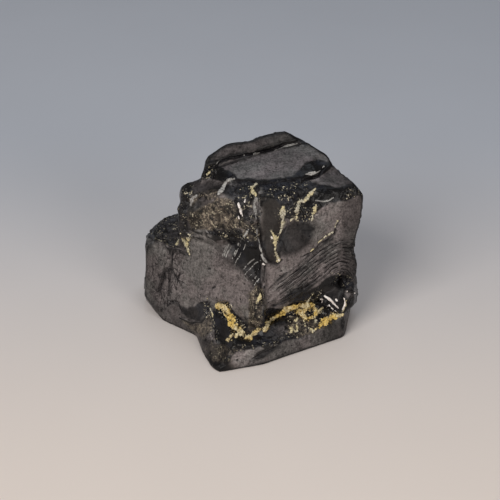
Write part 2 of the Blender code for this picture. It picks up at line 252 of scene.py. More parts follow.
# %% Dark cracks and hairlines: (x, y, half-width in mm)
CRACKS = {
    "seam": [(255, 186, 0.5), (259, 200, 0.3), (257.5, 216, 0.3), (260.5, 236, 0.4), (262, 246, 0.35),
        (260, 256, 0.35), (259.5, 270, 0.35), (260.5, 288, 0.3), (262, 304, 0.3)],
    "inner_sill": [(262.5, 242, 0.25), (264.5, 256, 0.3), (268.8, 260.8, 0.3), (274, 263.3, 0.4),
        (278.5, 262.8, 0.35), (282, 259.5, 0.25)],
    "slab_joint": [(206, 172, 0.5), (214, 167, 0.5), (222, 161, 0.5), (237, 157.2, 0.45),
        (248, 154.4, 0.45), (259, 152.6, 0.5), (270, 149.6, 0.55), (279.6, 146.3, 0.45),
        (288.8, 143.2, 0.35), (298, 141, 0.25)],
    "left_main": [(173.6, 247.2, 0.35), (172.3, 258.7, 0.3), (171.7, 267.6, 0.3), (169.1, 281, 0.3),
        (168.5, 293.8, 0.25), (167.2, 306.5, 0.18)],
    "left_twig": [(171.8, 267, 0.2), (168.6, 272, 0.25), (168, 277.6, 0.2)],
    "left_long": [(181, 262, 0.12), (180.2, 272, 0.2), (177.4, 280.4, 0.2), (176, 290, 0.12)],
    "left_low": [(160.5, 288, 0.2), (161.6, 297, 0.2), (159.8, 305, 0.12)],
    "left_gash": [(172, 266.5, 0.15), (165.9, 267.6, 0.3), (164.7, 272.1, 0.45), (162.8, 279.7, 0.4),
        (159.6, 287.4, 0.3), (157, 293, 0.15)],
    "left_net": [(172, 268, 0.15), (175, 275.9, 0.3), (177.4, 280.4, 0.3), (184, 283, 0.15),
        (188, 286, 0.1)],
    "left_bench": [(167.9, 306, 0.2), (171.7, 300.8, 0.3), (176.8, 302, 0.35), (179.3, 306.5, 0.35),
        (181.9, 312, 0.25)],
    "left_arch": [(198, 303.5, 0.1), (203, 302, 0.2), (208, 301.5, 0.25), (210, 307, 0.15)],
    "flow_edge": [(282, 300.5, 0.2), (290, 294.7, 0.4), (294.2, 291, 0.5), (299.1, 288.6, 0.5),
        (303.9, 289.2, 0.4), (307.6, 285, 0.4), (312.4, 282.7, 0.35), (320, 276, 0.25)],
    "flow_long": [(268, 290, 0.12), (274, 284, 0.28), (281, 278, 0.34), (286.5, 273, 0.2)],
    "flow_second": [(281.5, 291.3, 0.1), (286.6, 284.7, 0.18), (292.2, 279.6, 0.18), (303, 275, 0.1)],
    "flow_arc": [(316, 253, 0.12), (324.5, 249.2, 0.2), (333, 245, 0.2), (342.7, 243.2, 0.2),
        (349, 245.5, 0.1)],
    "flow_dash": [(314, 263, 0.1), (321, 259.5, 0.3), (327, 256.5, 0.15)],
    "flow_dash_left": [(294, 272, 0.1), (299, 269.7, 0.32), (305, 268.2, 0.12)],
    "flow_merge": [(300.9, 256.4, 0.15), (309.4, 254.4, 0.25), (317.9, 249, 0.3)],
    "vein_shadow": [(312, 253, 0.15), (321.5, 243.6, 0.35), (330.6, 238, 0.4), (334.5, 233, 0.35),
        (337, 225, 0.25), (341, 219, 0.12)],
    "foot_split": [(251, 359, 0.1), (258.2, 355.8, 0.4), (264.2, 352.8, 0.6), (272, 349, 0.55),
        (280, 345.5, 0.25)],
    "foot_hairline": [(228, 353.5, 0.1), (236, 351, 0.2), (246, 349.5, 0.2), (256, 347, 0.15)],
    "chin": [(262, 306, 0.3), (275, 306, 0.4), (290, 299, 0.3)],
    "wedge_root": [(235, 250, 0.2), (243, 240, 0.35), (256, 232, 0.4)],
    # painted shadow: a dark groove line under the knuckle's overhang
    "overhang": [(213, 229, 0.3), (221, 237, 0.5), (232, 243, 0.6), (243, 240, 0.4)],
    "facet_edge": [(232, 179.5, 0.25), (246, 181.5, 0.3), (262, 182.5, 0.35), (280, 182, 0.3),
        (296, 181, 0.3)],
    "brow": [(326, 165, 0.25), (319, 176, 0.4), (303, 181, 0.35)],
    "pit": [(338.5, 279, 0.9), (341, 286, 0.8)],
    "heel_hole": [(205.6, 339.5, 0.4), (206.4, 340.5, 0.3)],
    "face_hole": [(212.3, 287.9, 0.25), (215.2, 286.7, 0.35)],
    "face_dash": [(199.5, 289.3, 0.15), (202.5, 289.3, 0.18)],
    "face_dot": [(208, 269.5, 0.2), (209.6, 267.9, 0.3)],
    "face_spot": [(186.3, 260, 0.2), (187.3, 260.3, 0.2)],
    "foot_dot": [(237.1, 360.5, 0.3), (237.9, 361, 0.25)],
    "blob_hole": [(219.6, 309.2, 0.35), (220.8, 310, 0.3)],
    "ring_hole": [(308.6, 310.3, 0.6), (311.2, 312.6, 0.6)],
    "left_ledge": [(149, 237.5, 0.15), (158, 242.5, 0.25), (168, 246.6, 0.35), (173, 248, 0.4),
        (180, 248.8, 0.3), (188.3, 255.7, 0.25)],
    "blade_side": [(234.5, 200, 0.2), (237.5, 210, 0.35), (240.5, 219, 0.3), (244, 222, 0.2)],
}
CRACK_DEPTH = 1.5                        # depth over half-width
CRACK_WANDER = 0.25                      # how far noise bends a crack, in millimetres

# %% Thin raised edges of broken shells
BLADES = {
    "knob_top": [(348, 290.5, 0.5), (351, 291, 0.7), (355, 293.5, 0.5)],
    "knuckle_blade": [(236.2, 198.5, 0.3), (239.5, 208, 0.6), (242, 218.5, 0.35)],
    "side_arc_1": [(186, 190, 0.3), (183.5, 198, 0.4), (182, 208, 0.3)],
    "side_arc_2": [(191, 189, 0.3), (188, 197, 0.4), (186.5, 206, 0.3)],
    "shoulder_arc": [(160, 224, 0.3), (166, 227, 0.4), (164, 233, 0.3)],
    "foot_line": [(211, 309, 0.3), (213.1, 320.6, 0.45), (217, 331, 0.3)],
    "left_bench_edge": [(180, 318, 0.4), (192, 323, 0.6), (203, 322, 0.5), (209, 314, 0.3)],
}
BLADE_HEIGHT = 0.6                       # height over half-width

# %% Cream veins
VEINS = {
    "forked_head": [(316.6, 188, 0.15), (311.3, 193.5, 0.4), (307.8, 196.6, 0.5), (304.4, 200, 0.4),
        (299.8, 201.4, 0.5), (297.6, 206.7, 0.45), (296.9, 210.8, 0.5)],
    "forked_bead": [(297.4, 214.2, 0.4), (296, 217.2, 0.6)],
    "forked_tail": [(290, 220.6, 0.15), (293, 218.6, 0.2), (295, 217, 0.25)],
    "inner_top": [(282.8, 209, 0.5), (282.4, 213.6, 0.95), (282.8, 219, 0.75), (283.1, 224, 0.4),
        (280.3, 232, 0.3), (278, 237.7, 0.4)],
    "inner_patch": [(271.8, 231.5, 0.25), (273.5, 235.5, 0.5), (275.3, 239.2, 0.7), (276, 244, 0.35)],
    "inner_foot": [(276, 244, 0.3), (275, 249.5, 0.2), (276.3, 254.5, 0.3), (278.2, 259.7, 0.5)],
    "outer": [(315.4, 204.4, 0.3), (314.2, 211.3, 0.6), (312.6, 216, 0.5), (311.8, 220, 0.25)],
    "outer_side": [(309.2, 210.5, 0.2), (309.4, 215, 0.3), (309, 219.5, 0.15)],
    "seam_hook": [(256.5, 183.4, 0.35), (252.6, 186.8, 0.5), (252.5, 190.9, 0.45), (255.6, 194.2, 0.3)],
    "joint_left": [(206.6, 175.6, 0.2), (209.2, 171.3, 0.25)],
    "face_vein": [(318.2, 242.6, 0.2), (325, 236.9, 0.25), (329, 235, 0.4), (332.5, 232, 0.35)],
    "face_bead": [(311.2, 251, 0.2), (313, 249.4, 0.25)],
    "face_thread": [(334.6, 229.5, 0.15), (335.4, 224.6, 0.22), (337.7, 221, 0.2)],
    "left_deposit": [(183.4, 239.5, 0.5), (186.6, 243.8, 0.9), (188.3, 249, 0.7), (189.5, 253.8, 0.35)],
    "left_deposit_top": [(189.5, 235, 0.4), (188, 239.5, 0.6)],
    "left_thread": [(180.6, 233.8, 0.2), (178.7, 239.5, 0.2), (176.8, 245.3, 0.25)],
    "column_streaks": [(261.6, 293, 0.25), (259.6, 298, 0.35), (257, 303, 0.2)],
    "twig": [(307, 301.8, 0.35), (309.6, 298.4, 0.25), (312.2, 295.3, 0.25), (315.4, 291.9, 0.2)],
    "knob_line": [(341.6, 313.5, 0.25), (343.1, 310.3, 0.2), (344.9, 305.7, 0.2), (345.9, 300.6, 0.25)],
    "notch_white": [(291, 328, 0.45), (291.6, 332.4, 0.35), (294.6, 331.6, 0.4), (298.2, 329, 0.35),
        (296.6, 324.8, 0.35)],
    "notch_drop": [(296, 320.4, 0.35), (297.4, 318.6, 0.3)],
    "notch_strand": [(304.2, 320.8, 0.3), (305.2, 326.2, 0.3)],
    "notch_bead": [(315, 319.4, 0.35), (316.4, 319.8, 0.3)],
    "notch_pink": [(311.6, 329.2, 0.4), (313, 331.6, 0.4)],
    "left_dots": [(207.4, 298.2, 0.2), (208, 299, 0.15)],
    "left_foot_line": [(210.6, 308.4, 0.2), (212.4, 314, 0.25), (213.1, 320.6, 0.2), (216.6, 330, 0.2)],
}

# %% White powder: joints, thin veins and scratches
POWDER_LINES = {
    "seam_upper": [(255.5, 198.6, 0.3), (253.8, 205.7, 0.35), (256.2, 213.9, 0.3), (256, 220, 0.25)],
    "seam_lower": [(258.4, 225, 0.3), (256.8, 231, 0.3), (258.8, 239.8, 0.25), (260.6, 250.5, 0.3),
        (262.7, 257.7, 0.35), (266.7, 262, 0.25)],
    "seam_twig": [(246, 234, 0.3), (248.5, 229.5, 0.3)],
    "knuckle_vein": [(233, 179.4, 0.6), (229.8, 180.4, 0.4), (227, 181.2, 0.5), (224.4, 184.5, 0.8),
        (221.8, 189, 0.6), (218.6, 194.3, 0.5)],
    "knuckle_rim": [(190.4, 205.2, 0.3), (191, 200.6, 0.5), (193.4, 198.2, 0.35), (196.8, 195.8, 0.3)],
    "joint_bright": [(213.2, 166.4, 0.25), (216.7, 163.6, 0.35), (219.6, 160.4, 0.25)],
    "joint_right": [(274.9, 150.2, 0.15), (282.3, 147.3, 0.3), (287, 146, 0.4), (292.5, 144.9, 0.3),
        (297.5, 143.3, 0.15)],
    "joint_middle": [(253.6, 154, 0.2), (256.4, 153.2, 0.25), (259.5, 152.8, 0.2)],
    "joint_spots": [(225.9, 159.9, 0.2), (229.6, 158.3, 0.3), (232.6, 157.2, 0.2)],
    "joint_dot": [(243, 155.8, 0.2), (244.2, 155.3, 0.2)],
    "slab_chip": [(306, 174.3, 0.25), (311, 173.4, 0.32), (317.6, 172.1, 0.25), (320.6, 170.3, 0.15)],
    "slab_chip_spots": [(322.3, 168.5, 0.2), (324.2, 166.4, 0.2)],
    "bevel_line": [(315.9, 200.4, 0.2), (323.9, 201.4, 0.2), (329.6, 200.3, 0.2), (333.1, 197.6, 0.2)],
    "long": [(246.8, 233.2, 0.15), (243.8, 236.2, 0.25), (238.2, 244.4, 0.22), (235.1, 251.5, 0.2),
        (232, 257.9, 0.15)],
    "long_twin": [(241, 243.5, 0.1), (237.6, 249.5, 0.14), (234.6, 256, 0.1)],
    "bristle_1": [(226.5, 246.5, 0.1), (223.5, 252.5, 0.13), (222, 257, 0.1)],
    "bristle_2": [(229, 244, 0.1), (226.4, 250, 0.12), (224, 256.5, 0.1)],
    "fan_5": [(259.5, 268.5, 0.1), (255, 271.5, 0.13), (249.5, 276.5, 0.1)],
    "fan_6": [(260.5, 277, 0.1), (257, 281, 0.12), (254.5, 285.5, 0.1)],
    "beside": [(231.5, 246, 0.12), (228.6, 251, 0.15), (225.4, 257.5, 0.12)],
    "inner": [(237.9, 258.4, 0.12), (236, 263, 0.15), (234.5, 267.4, 0.12)],
    "rising": [(261.8, 259.5, 0.12), (256.5, 262.8, 0.15), (251.4, 266.8, 0.16), (245.2, 274.7, 0.14)],
    "rising_twin": [(254.5, 258.7, 0.13), (247.3, 264.3, 0.16), (243.6, 269, 0.13)],
    "fan_1": [(256.8, 274.8, 0.12), (254.4, 278.4, 0.15), (252.2, 281.8, 0.12)],
    "fan_2": [(244.2, 276, 0.12), (247.5, 280.4, 0.14)],
    "fan_3": [(248, 241, 0.12), (245.2, 245.5, 0.14), (243.5, 249.5, 0.12)],
    "fan_4": [(241, 252, 0.12), (239, 256.8, 0.14)],
}

# %% Painted glints: white slivers on ridges, lens and knob where highlights shine, and a few white beads
PAINTED_GLINTS_AND_BEADS = {
    "blade": [(236.3, 199.4, 0.14), (238.2, 204.8, 0.32), (240.2, 210.4, 0.36), (241.8, 216.8, 0.14)],
    "blade_beads": [(238.4, 216.6, 0.25), (239, 218.6, 0.25)],
    "blade_side": [(245.8, 199.2, 0.15), (244.8, 202.2, 0.2)],
    "lens": [(321, 293, 0.15), (325, 296.2, 0.24), (329, 299.2, 0.36), (333.4, 303.4, 0.28),
        (338.2, 308.2, 0.15)],
    "lens_low": [(320.8, 298.8, 0.1), (325.9, 301.7, 0.13), (331.7, 308, 0.13), (336.6, 312, 0.1)],
    "lens_side": [(335.6, 299.2, 0.22), (336.6, 300.4, 0.18)],
    "knob": [(347.5, 291, 0.25), (351, 291.6, 0.3), (354.2, 292.8, 0.3)],
    "knob_edge": [(344, 298, 0.15), (344.8, 304, 0.22), (342.6, 310, 0.18)],
    "seam_bead": [(263.6, 264, 0.28), (264.4, 264.5, 0.25)],
    "inner_bead": [(271.4, 237.4, 0.22), (271.9, 238.4, 0.22)],
    "inner_end": [(277.8, 259.2, 0.3), (278.4, 260, 0.3)],
    "brow_dots": [(291.3, 180.4, 0.22), (291.8, 180.7, 0.2)],
    "face_dot": [(163, 277.6, 0.2), (163.3, 278.6, 0.18)],
}

# %% Ochre crust
CRUST = {
    "left_blob": [(218.6, 305.6, 0.8), (223.6, 306.4, 1.4), (227.6, 309.4, 1.0)],
    "left_strand": [(224.7, 314.6, 0.25), (227.4, 318.4, 0.35), (230, 322.2, 0.4)],
    "left_branch": [(229, 312, 0.5), (231.4, 317, 0.6), (232.6, 322.5, 0.75)],
    "left_root": [(233.6, 325.6, 0.9), (238, 329.6, 1.5), (240.8, 332.8, 1.35), (243.4, 334.4, 0.6)],
    "left_tail": [(235.6, 335.2, 0.6), (231.6, 337.6, 0.65), (228, 339.3, 0.4)],
    "middle_blob": [(245.8, 336.6, 0.7), (249.4, 338, 0.55), (252, 335.4, 0.3), (254.6, 332.4, 0.5),
        (257, 331, 0.4), (260, 329.6, 0.45), (262.8, 329.4, 0.3)],
    "right_branch": [(263.6, 329, 0.5), (266.2, 325.2, 1.0), (270.6, 321, 1.15), (274.8, 316.6, 1.05)],
    "right_neck": [(277.6, 315, 0.5), (280.4, 314, 0.8), (283, 311.4, 1.0), (286, 307.6, 0.75),
        (287.6, 309.6, 0.6)],
    "right_patch": [(289.4, 308, 0.8), (294.8, 305.8, 1.3), (300.4, 304.6, 1.4), (306.2, 304, 1.1),
        (312, 306, 0.7)],
    "right_drop": [(297, 309.4, 1.1), (300.6, 313.2, 1.5), (303.6, 316.8, 1.0), (308, 318.4, 0.5)],
    "ring": [(304.4, 309.6, 0.5), (309, 307.4, 0.45), (314.2, 309.4, 0.5), (316.6, 312.4, 0.5),
        (314.2, 316.2, 0.45), (309.2, 318.4, 0.45), (304.6, 317.4, 0.5)],
    "ring_twig": [(317, 312.4, 0.3), (320, 309.6, 0.25), (322.6, 308, 0.2)],
    "strip": [(315.8, 328.8, 0.3), (321.4, 325, 0.45), (324.2, 322.6, 0.95), (328, 319.8, 1.05),
        (331.4, 317.8, 0.9), (336, 315.8, 0.7), (341, 314.8, 0.45)],
    "strip_bead": [(332.6, 313.4, 0.4), (333.4, 314.6, 0.4)],
}


# %% Distance to a line
FAR_AWAY = 1000.0                        # a gap that any real one beats, in millimetres


def routed(places):
    """The 3-D points and half-widths of a chain of places."""
    return np.array([on_stone(x, y) for x, y, _ in places]), np.array([w for _, _, w in places])


def line_gap(points, places):
    """Distance from each point to a line, and the line's half-width at the nearest place.

    For each leg the point's foot on it gives a distance and a width, blended from the leg's two
    ends; the leg with the most of 1 - distance / width wins.
    """
    spots, widths = routed(places)
    gap, width = np.full(len(points), FAR_AWAY), np.full(len(points), 1.0)
    for start, end, thin, thick in zip(spots[:-1], spots[1:], widths[:-1], widths[1:]):
        leg = end - start
        along = np.clip((points - start) @ leg / (leg @ leg), 0.0, 1.0)
        away = np.linalg.norm(points - start - along[:, None] * leg, axis=1)
        wide = thin + along * (thick - thin)
        wins = away / wide < gap / width
        gap, width = np.where(wins, away, gap), np.where(wins, wide, width)
    return gap, width


def nearness(points, places):
    """How far inside a line each point is: 1 at its middle, 0 at its edge, below 0 outside."""
    gap, width = line_gap(points, places)
    return 1.0 - gap / width


def best_nearness(points, lines):
    """Each point's nearness to the line, of several, that it is deepest inside of."""
    best = np.full(len(points), -np.inf)
    for places in lines.values():
        best = np.maximum(best, nearness(points, places))
    return best


def widest(places):
    """The largest half-width along a line."""
    return max(width for _, _, width in places)


print(len(CRACKS), "cracks,", len(VEINS), "cream veins,", len(POWDER_LINES), "lines of powder,",
      len(PAINTED_GLINTS_AND_BEADS), "slivers and", len(CRUST), "pieces of crust")

# %% [markdown]
# ## Patches of finish
#
# Shungite breaks in two ways. Along its cleavage it parts in broad satin faces with a brown-grey
# sheen. Across it, it breaks like glass, into small, near-black, shiny shells. A few places are
# gritty with brown shale. Each patch here is an outline in the picture. Its edge is bent by noise,
# because no real patch has a straight edge, and it stops where the stone turns away from the camera.
# Besides "glassy", "gritty" and "brown" there are "sheen" for glassy places painted as lighter satin
# where a highlight shines, "crumbly" for loose small facets, "crackle" for hairlines, and "flow" for
# the ridges at the right. Last comes painted light and shade: each face of the stone is made lighter or
# darker by how the light falls on it.

# %% Outlines of the patches, by finish: (share, softness of the edge in pixels, outline)
DISH = [(285, 226), (297, 220), (309, 220), (315, 228), (310, 243), (300, 252), (287, 257),
        (280, 256), (280, 243)]
PATCHES = {
    "glassy": {
        "left_shoulder": (0.85, 0.8, [(146, 238), (154, 222), (162, 215), (177, 212), (180, 228),
            (179, 240), (175, 248), (166, 244)]),
        "knuckle_side": (0.9, 1.0, [(176, 214), (179, 199), (182, 186), (187, 182), (194, 184), (190, 192),
            (190, 203), (186, 212), (187, 224), (190, 234), (181, 232)]),
        "knuckle_top": (0.85, 1.5, [(222, 190), (230, 182), (254, 182), (256, 196), (250, 210), (247, 224),
            (240, 220), (236, 204), (226, 198)]),
        "knuckle_pool": (0.6, 2.0, [(196, 200), (206, 194), (212, 196), (210, 204), (202, 210),
            (196, 208)]),
        "slab_end": (1.0, 0.8, [(200, 176), (203, 168), (208, 161), (216, 158), (214, 164), (219, 167),
            (228, 170), (237, 176), (236, 181), (222, 182), (208, 180)]),
        "slab_lip": (1.0, 0.8, [(233, 178), (262, 179.5), (285, 178.5), (300, 175.5), (312, 172),
            (331, 161), (334, 166), (326, 174), (315, 180), (303, 183), (285, 187), (258, 187),
            (238, 185)]),
        "slab_right": (1.0, 1.2, [(298, 170), (306, 162.5), (316, 160.5), (330, 160), (332, 165),
            (322, 172), (306, 176), (292, 178)]),
        # painted shadow under the knuckle's overhang, as black glass
        "overhang": (0.95, 1.0, [(206, 228), (222, 230), (232, 228), (241, 231), (244, 238), (238, 248),
            (230, 244), (220, 238), (210, 234)]),
        # painted shade: the hollow wedge beside the seam and its soft fade, as black glass
        "wedge": (1.0, 3.0, [(243, 240), (252, 229), (259, 238), (261, 256), (260, 285), (254, 277),
            (248, 266), (244, 254)]),
        "wedge_fade": (0.75, 4.0, [(228, 250), (242, 236), (260, 232), (262, 296), (252, 284),
            (238, 268)]),
        "dish": (0.35, 3.5, DISH),
        "dish_edge": (0.9, 0.8, [(277.5, 243), (282, 228), (286, 226), (283, 243), (280, 258),
            (277, 256)]),
        "brow": (0.95, 1.2, [(262, 184), (300, 181), (318, 184), (309, 197), (305, 210), (300, 216),
            (290, 221), (285, 219), (284, 206), (275, 199), (262, 193)]),
        "bevel": (1.0, 0.8, [(306, 198), (317, 185), (336, 187), (362, 184), (364, 194), (346, 200),
            (330, 203), (318, 210), (309, 221), (298, 221), (302, 208)]),
        "notch": (1.0, 0.8, [(262, 309), (284, 308), (300, 294), (316, 287), (331, 276), (346, 275),
            (359, 288), (360, 302), (350, 312), (341, 316), (327, 325), (306, 336), (286, 342), (263, 346),
            (240, 351), (226, 351), (217, 344), (213, 330), (211, 315), (216, 305), (228, 302), (236, 314),
            (246, 324), (260, 323)]),
        "chipped_edge": (0.9, 1.2, [(286, 301), (290, 296), (295, 291.5), (304, 290.5), (309, 285.5),
            (315, 282.5), (310, 290), (303, 295), (296, 300), (290, 302.5)]),
        "left_bench": (0.9, 1.2, [(180, 305), (187, 307.5), (195, 304.5), (203, 302), (210, 301),
            (212, 309), (206, 315), (197, 320), (188, 318), (183, 313)]),
        "heel": (0.9, 2.0, [(214, 349), (222, 347), (232, 349), (230, 355), (222, 361), (214, 358)]),
        "heel_corner": (0.8, 2.5, [(207, 360), (216, 358), (228, 364), (238, 369), (226, 376),
            (208, 372)]),
        "joint_shade": (1.0, 0.8, [(204, 173), (212, 162), (225, 157), (254, 151), (272, 147), (281, 143),
            (284, 145.5), (272, 150.5), (255, 155), (230, 160), (216, 167), (207, 177)]),
        "slab_tip": (0.9, 1.0, [(285, 130), (294, 130), (302, 138), (310, 142), (306, 146), (298, 141),
            (292, 137)]),
    },
    # painted highlights: glassy places made lighter satin where they shine, under the crust, on the knob
    # and lens
    "sheen": {
        "hump": (0.26, 3.0, [(264, 334), (270, 324), (282, 318), (290, 322), (292, 332), (284, 338),
            (272, 340)]),
        "hump_glint": (0.60, 1.5, [(280, 331), (286, 326), (291, 329), (287, 334)]),
        "knob": (0.50, 1.2, [(344, 292), (350, 288), (357, 291), (354, 298), (347, 300)]),
        "lens": (0.20, 2.0, [(322, 291), (334, 284), (342, 290), (338, 302), (330, 298)]),
    },
    "crumbly": {
        "left_shoulder": (0.5, 1.5, [(150, 236), (156, 223), (163, 217), (177, 214), (179, 240), (175, 247),
            (165, 243)]),
        "knuckle_side": (0.7, 1.5, [(178, 214), (182, 190), (194, 184), (188, 203), (186, 232),
            (180, 230)]),
        "knuckle_top": (0.9, 2.0, [(232, 188), (240, 184), (252, 186), (256, 200), (252, 226), (244, 226),
            (241, 206)]),
        "slab_end": (0.9, 1.5, [(203, 177), (206, 168), (212, 166), (218, 172), (214, 181)]),
        "slab_lip": (0.6, 1.2, [(262, 184), (285, 183), (306, 182), (306, 186), (285, 190), (262, 190)]),
        "brow": (1.0, 1.5, [(262, 186), (300, 183), (308, 186), (303, 198), (296, 207), (292, 214),
            (285, 212), (280, 199), (263, 194)]),
        "brow_low": (0.8, 1.5, [(286, 210), (300, 206), (312, 206), (320, 213), (310, 221), (298, 222),
            (286, 222)]),
        "bevel": (0.6, 1.0, [(342, 190), (362, 186), (364, 194), (346, 200), (338, 201)]),
        "overhang": (0.9, 1.5, [(206, 228), (220, 230), (240, 232), (246, 238), (236, 243), (216, 238)]),
        "left_ledge": (0.6, 1.5, [(180, 238), (190, 234), (197, 232), (194, 240), (190, 252), (184, 250)]),
        "notch_left": (1.0, 1.5, [(211, 305), (217, 302), (230, 301), (238, 316), (247, 326), (240, 332),
            (230, 322), (222, 316)]),
        "notch_rim": (0.8, 1.5, [(204, 302), (211, 300), (214, 320), (220, 340), (214, 344), (206, 326)]),
        "notch_edge": (0.7, 1.5, [(217, 344), (226, 348), (240, 346), (262, 342), (280, 338), (290, 336),
            (281, 343), (263, 348), (240, 352), (222, 354)]),
        "notch_right": (0.9, 1.5, [(286, 318), (292, 310), (306, 306), (318, 304), (324, 310), (320, 318),
            (316, 328), (304, 337), (288, 340), (284, 330)]),
        "twig": (0.9, 1.5, [(304, 304), (308, 297), (318, 288), (324, 290), (318, 298), (310, 305)]),
        "seam_side": (0.8, 1.5, [(240, 200), (252, 186), (261, 190), (260, 212), (257, 238), (247, 240),
            (240, 226)]),
        "tip": (0.8, 1.5, [(330, 272), (345, 272), (352, 280), (344, 286), (334, 282)]),
    },
    "brown": {
        "inner_face": (0.85, 1.2, [(262, 193), (280, 196), (283, 210), (280, 230), (275, 240), (277, 250),
            (278, 262), (268, 262), (263, 252), (259, 234)]),
        "heel_corner": (0.8, 3.0, [(207, 356), (216, 352), (230, 360), (240, 369), (226, 376),
            (208, 372)]),
    },
    "gritty": {
        "knuckle": (1.0, 1.5, [(187, 213), (196, 211), (208, 205), (218, 198), (232, 200), (238, 208),
            (243, 219), (246, 230), (233, 229), (218, 230), (206, 230), (193, 232), (188, 222)]),
        "knuckle_brow": (0.7, 2.0, [(188, 200), (196, 193), (214, 190), (222, 194), (214, 200), (200, 196),
            (192, 206)]),
        "column": (1.0, 1.5, [(248, 292), (257, 286), (263, 290), (263, 322), (256, 331), (248, 328),
            (249, 310)]),
        "seam_foot": (0.8, 2.0, [(245, 222), (257, 222), (261, 240), (252, 240), (243, 236)]),
        "notch_speck": (0.9, 1.5, [(288, 318), (306, 316), (318, 322), (314, 333), (298, 337),
            (286, 334)]),
        "bench_ledge": (0.7, 2.0, [(182, 320), (192, 324), (203, 322), (210, 314), (212, 330), (204, 338),
            (190, 330)]),
        "heel": (0.5, 2.5, [(205, 350), (213, 343), (223, 346), (236, 350), (230, 360), (214, 362)]),
    },
    "crackle": {
        "left_end": (1.0, 4.0, [(150, 262), (166, 246), (182, 250), (186, 268), (182, 296), (172, 312),
            (156, 308), (149, 290)]),
        "left_face": (0.35, 8.0, [(176, 250), (206, 236), (226, 252), (222, 292), (190, 300), (180, 280)]),
        "right_edge": (0.4, 4.0, [(340, 205), (360, 200), (357, 240), (342, 236)]),
        "foot": (0.5, 4.0, [(240, 360), (270, 352), (330, 326), (336, 338), (290, 355), (236, 368)]),
    },
    "flow": {
        "right_face": (1.0, 4.0, [(278, 299), (275, 289), (284, 277), (298, 262), (318, 247), (333, 240),
            (352, 238), (361, 242), (360, 286), (350, 286), (338, 275), (329, 276), (317, 281), (303, 290),
            (288, 300)]),
    },
}

# %% Painted light and shade on each face, by how the light falls on it
# (painted brightness next to the largest face, softness of the edge in pixels, outline)
PAINTED_FACE_LIGHT = {
    "top_facet": (0.76, 1.0, [(214, 164), (232, 159), (256, 153.5), (286, 148), (302, 141), (320, 150),
        (331, 160), (308, 172), (298, 179), (262, 182), (236, 180), (222, 171)]),
    "top_back": (0.85, 3.0, [(222, 166), (236, 158), (260, 153), (290, 147), (300, 155), (290, 162),
        (262, 162), (240, 166)]),
    "top_front": (1.3, 3.0, [(230, 170), (250, 166), (264, 164), (272, 170), (256, 180), (240, 179)]),
    "slab": (0.44, 1.0, [(200, 168), (212, 153), (228, 145), (256, 137), (286, 130), (300, 138), (306, 143),
        (286, 147), (254, 152), (230, 158.5), (207, 172)]),
    "shoulder": (0.58, 1.0, [(318, 183), (326, 173), (334, 166), (343, 173), (353, 180), (364, 190),
        (350, 187), (336, 187)]),
    "right_edge": (0.50, 5.0, [(344, 200), (366, 190), (362, 292), (344, 280), (340, 240)]),
    "right_low": (1.02, 5.0, [(262, 272), (284, 268), (292, 280), (284, 300), (262, 304)]),
    "dish": (0.22, 3.5, DISH),
    "wedge": (0.36, 5.0, [(236, 252), (243, 238), (260, 230), (262, 298), (252, 286), (242, 270)]),
    "bench_rim": (0.70, 3.0, [(170, 318), (186, 321), (201, 323), (201, 332), (176, 331)]),
    "right_middle": (0.84, 6.0, [(308, 228), (326, 224), (334, 240), (318, 250), (306, 262), (296, 268),
        (292, 260)]),
    "knuckle_edge": (0.5, 2.0, [(183, 196), (200, 195), (205, 208), (197, 216), (190, 236), (182, 236)]),
    "knuckle_crest": (0.5, 2.0, [(209, 188), (226, 183), (237, 196), (222, 200), (209, 198)]),
    "seam_side": (0.5, 2.0, [(232, 186), (256, 184), (262, 240), (246, 240), (238, 222)]),
    "flow_shade": (0.84, 5.0, [(280, 290), (298, 262), (318, 247), (336, 240), (362, 242), (360, 288),
        (338, 274), (303, 290)]),
    "knuckle_side": (0.6, 3.0, [(184, 200), (196, 204), (196, 222), (186, 232)]),
    "wedge_side": (0.40, 4.0, [(216, 246), (228, 235), (244, 234), (244, 262), (236, 270), (224, 262)]),
    "wedge_top": (0.5, 3.0, [(238, 246), (244, 236), (262, 228), (262, 276), (250, 268)]),
    "foot": (0.68, 2.0, [(206, 345), (236, 347), (284, 340), (322, 328), (346, 316), (352, 330), (342, 345),
        (300, 356), (226, 376), (206, 366)]),
    "foot_end": (0.72, 4.0, [(322, 326), (346, 314), (348, 338), (326, 344)]),
    "foot_patch": (1.9, 1.5, [(228, 361), (233, 354), (242, 351.5), (262, 347), (277, 344), (270, 349),
        (258, 355), (249, 360), (244, 367), (232, 369)]),
    "heel": (0.45, 4.0, [(200, 338), (214, 340), (234, 352), (226, 378), (204, 366)]),
    "foot_right": (0.72, 5.0, [(318, 330), (330, 318), (354, 306), (356, 345), (326, 350)]),
    "low_left": (0.62, 3.0, [(144, 296), (160, 306), (178, 303), (196, 318), (214, 314), (214, 350),
        (178, 336), (150, 316)]),
    "left_rim": (0.62, 6.0, [(140, 240), (156, 250), (166, 280), (164, 312), (140, 312)]),
    "left_top": (1.3, 4.0, [(190, 240), (206, 232), (226, 240), (230, 250), (206, 246)]),
    "knuckle_cap": (0.38, 1.5, [(184, 184), (200, 176), (214, 182), (232, 180), (224, 192), (206, 194),
        (190, 196)]),
    "inner_face": (0.46, 2.0, [(262, 190), (284, 196), (282, 222), (279, 262), (264, 264)]),
    "lens": (0.5, 2.0, [(318, 290), (334, 282), (345, 286), (345, 306), (332, 306)]),
}

# %% From outlines to masks
EDGE_WANDER = 1.5                        # how far noise bends an outline, in picture pixels
EDGE_BENDS = (((1.0, 2.6, 201), (0.6, 0.9, 203)), ((1.0, 2.6, 202), (0.6, 0.9, 204)))
LEVEL_SIDE = 1e-9                        # a side that rises less than this crosses no level line
FACING = (0.02, 0.14)                    # from turned away to facing, as the cosine of the angle
# painted shade: the sides that the camera misses are painted darker by this share
HIDDEN_SHADE = 0.3                       # how much darker the sides are that the camera misses


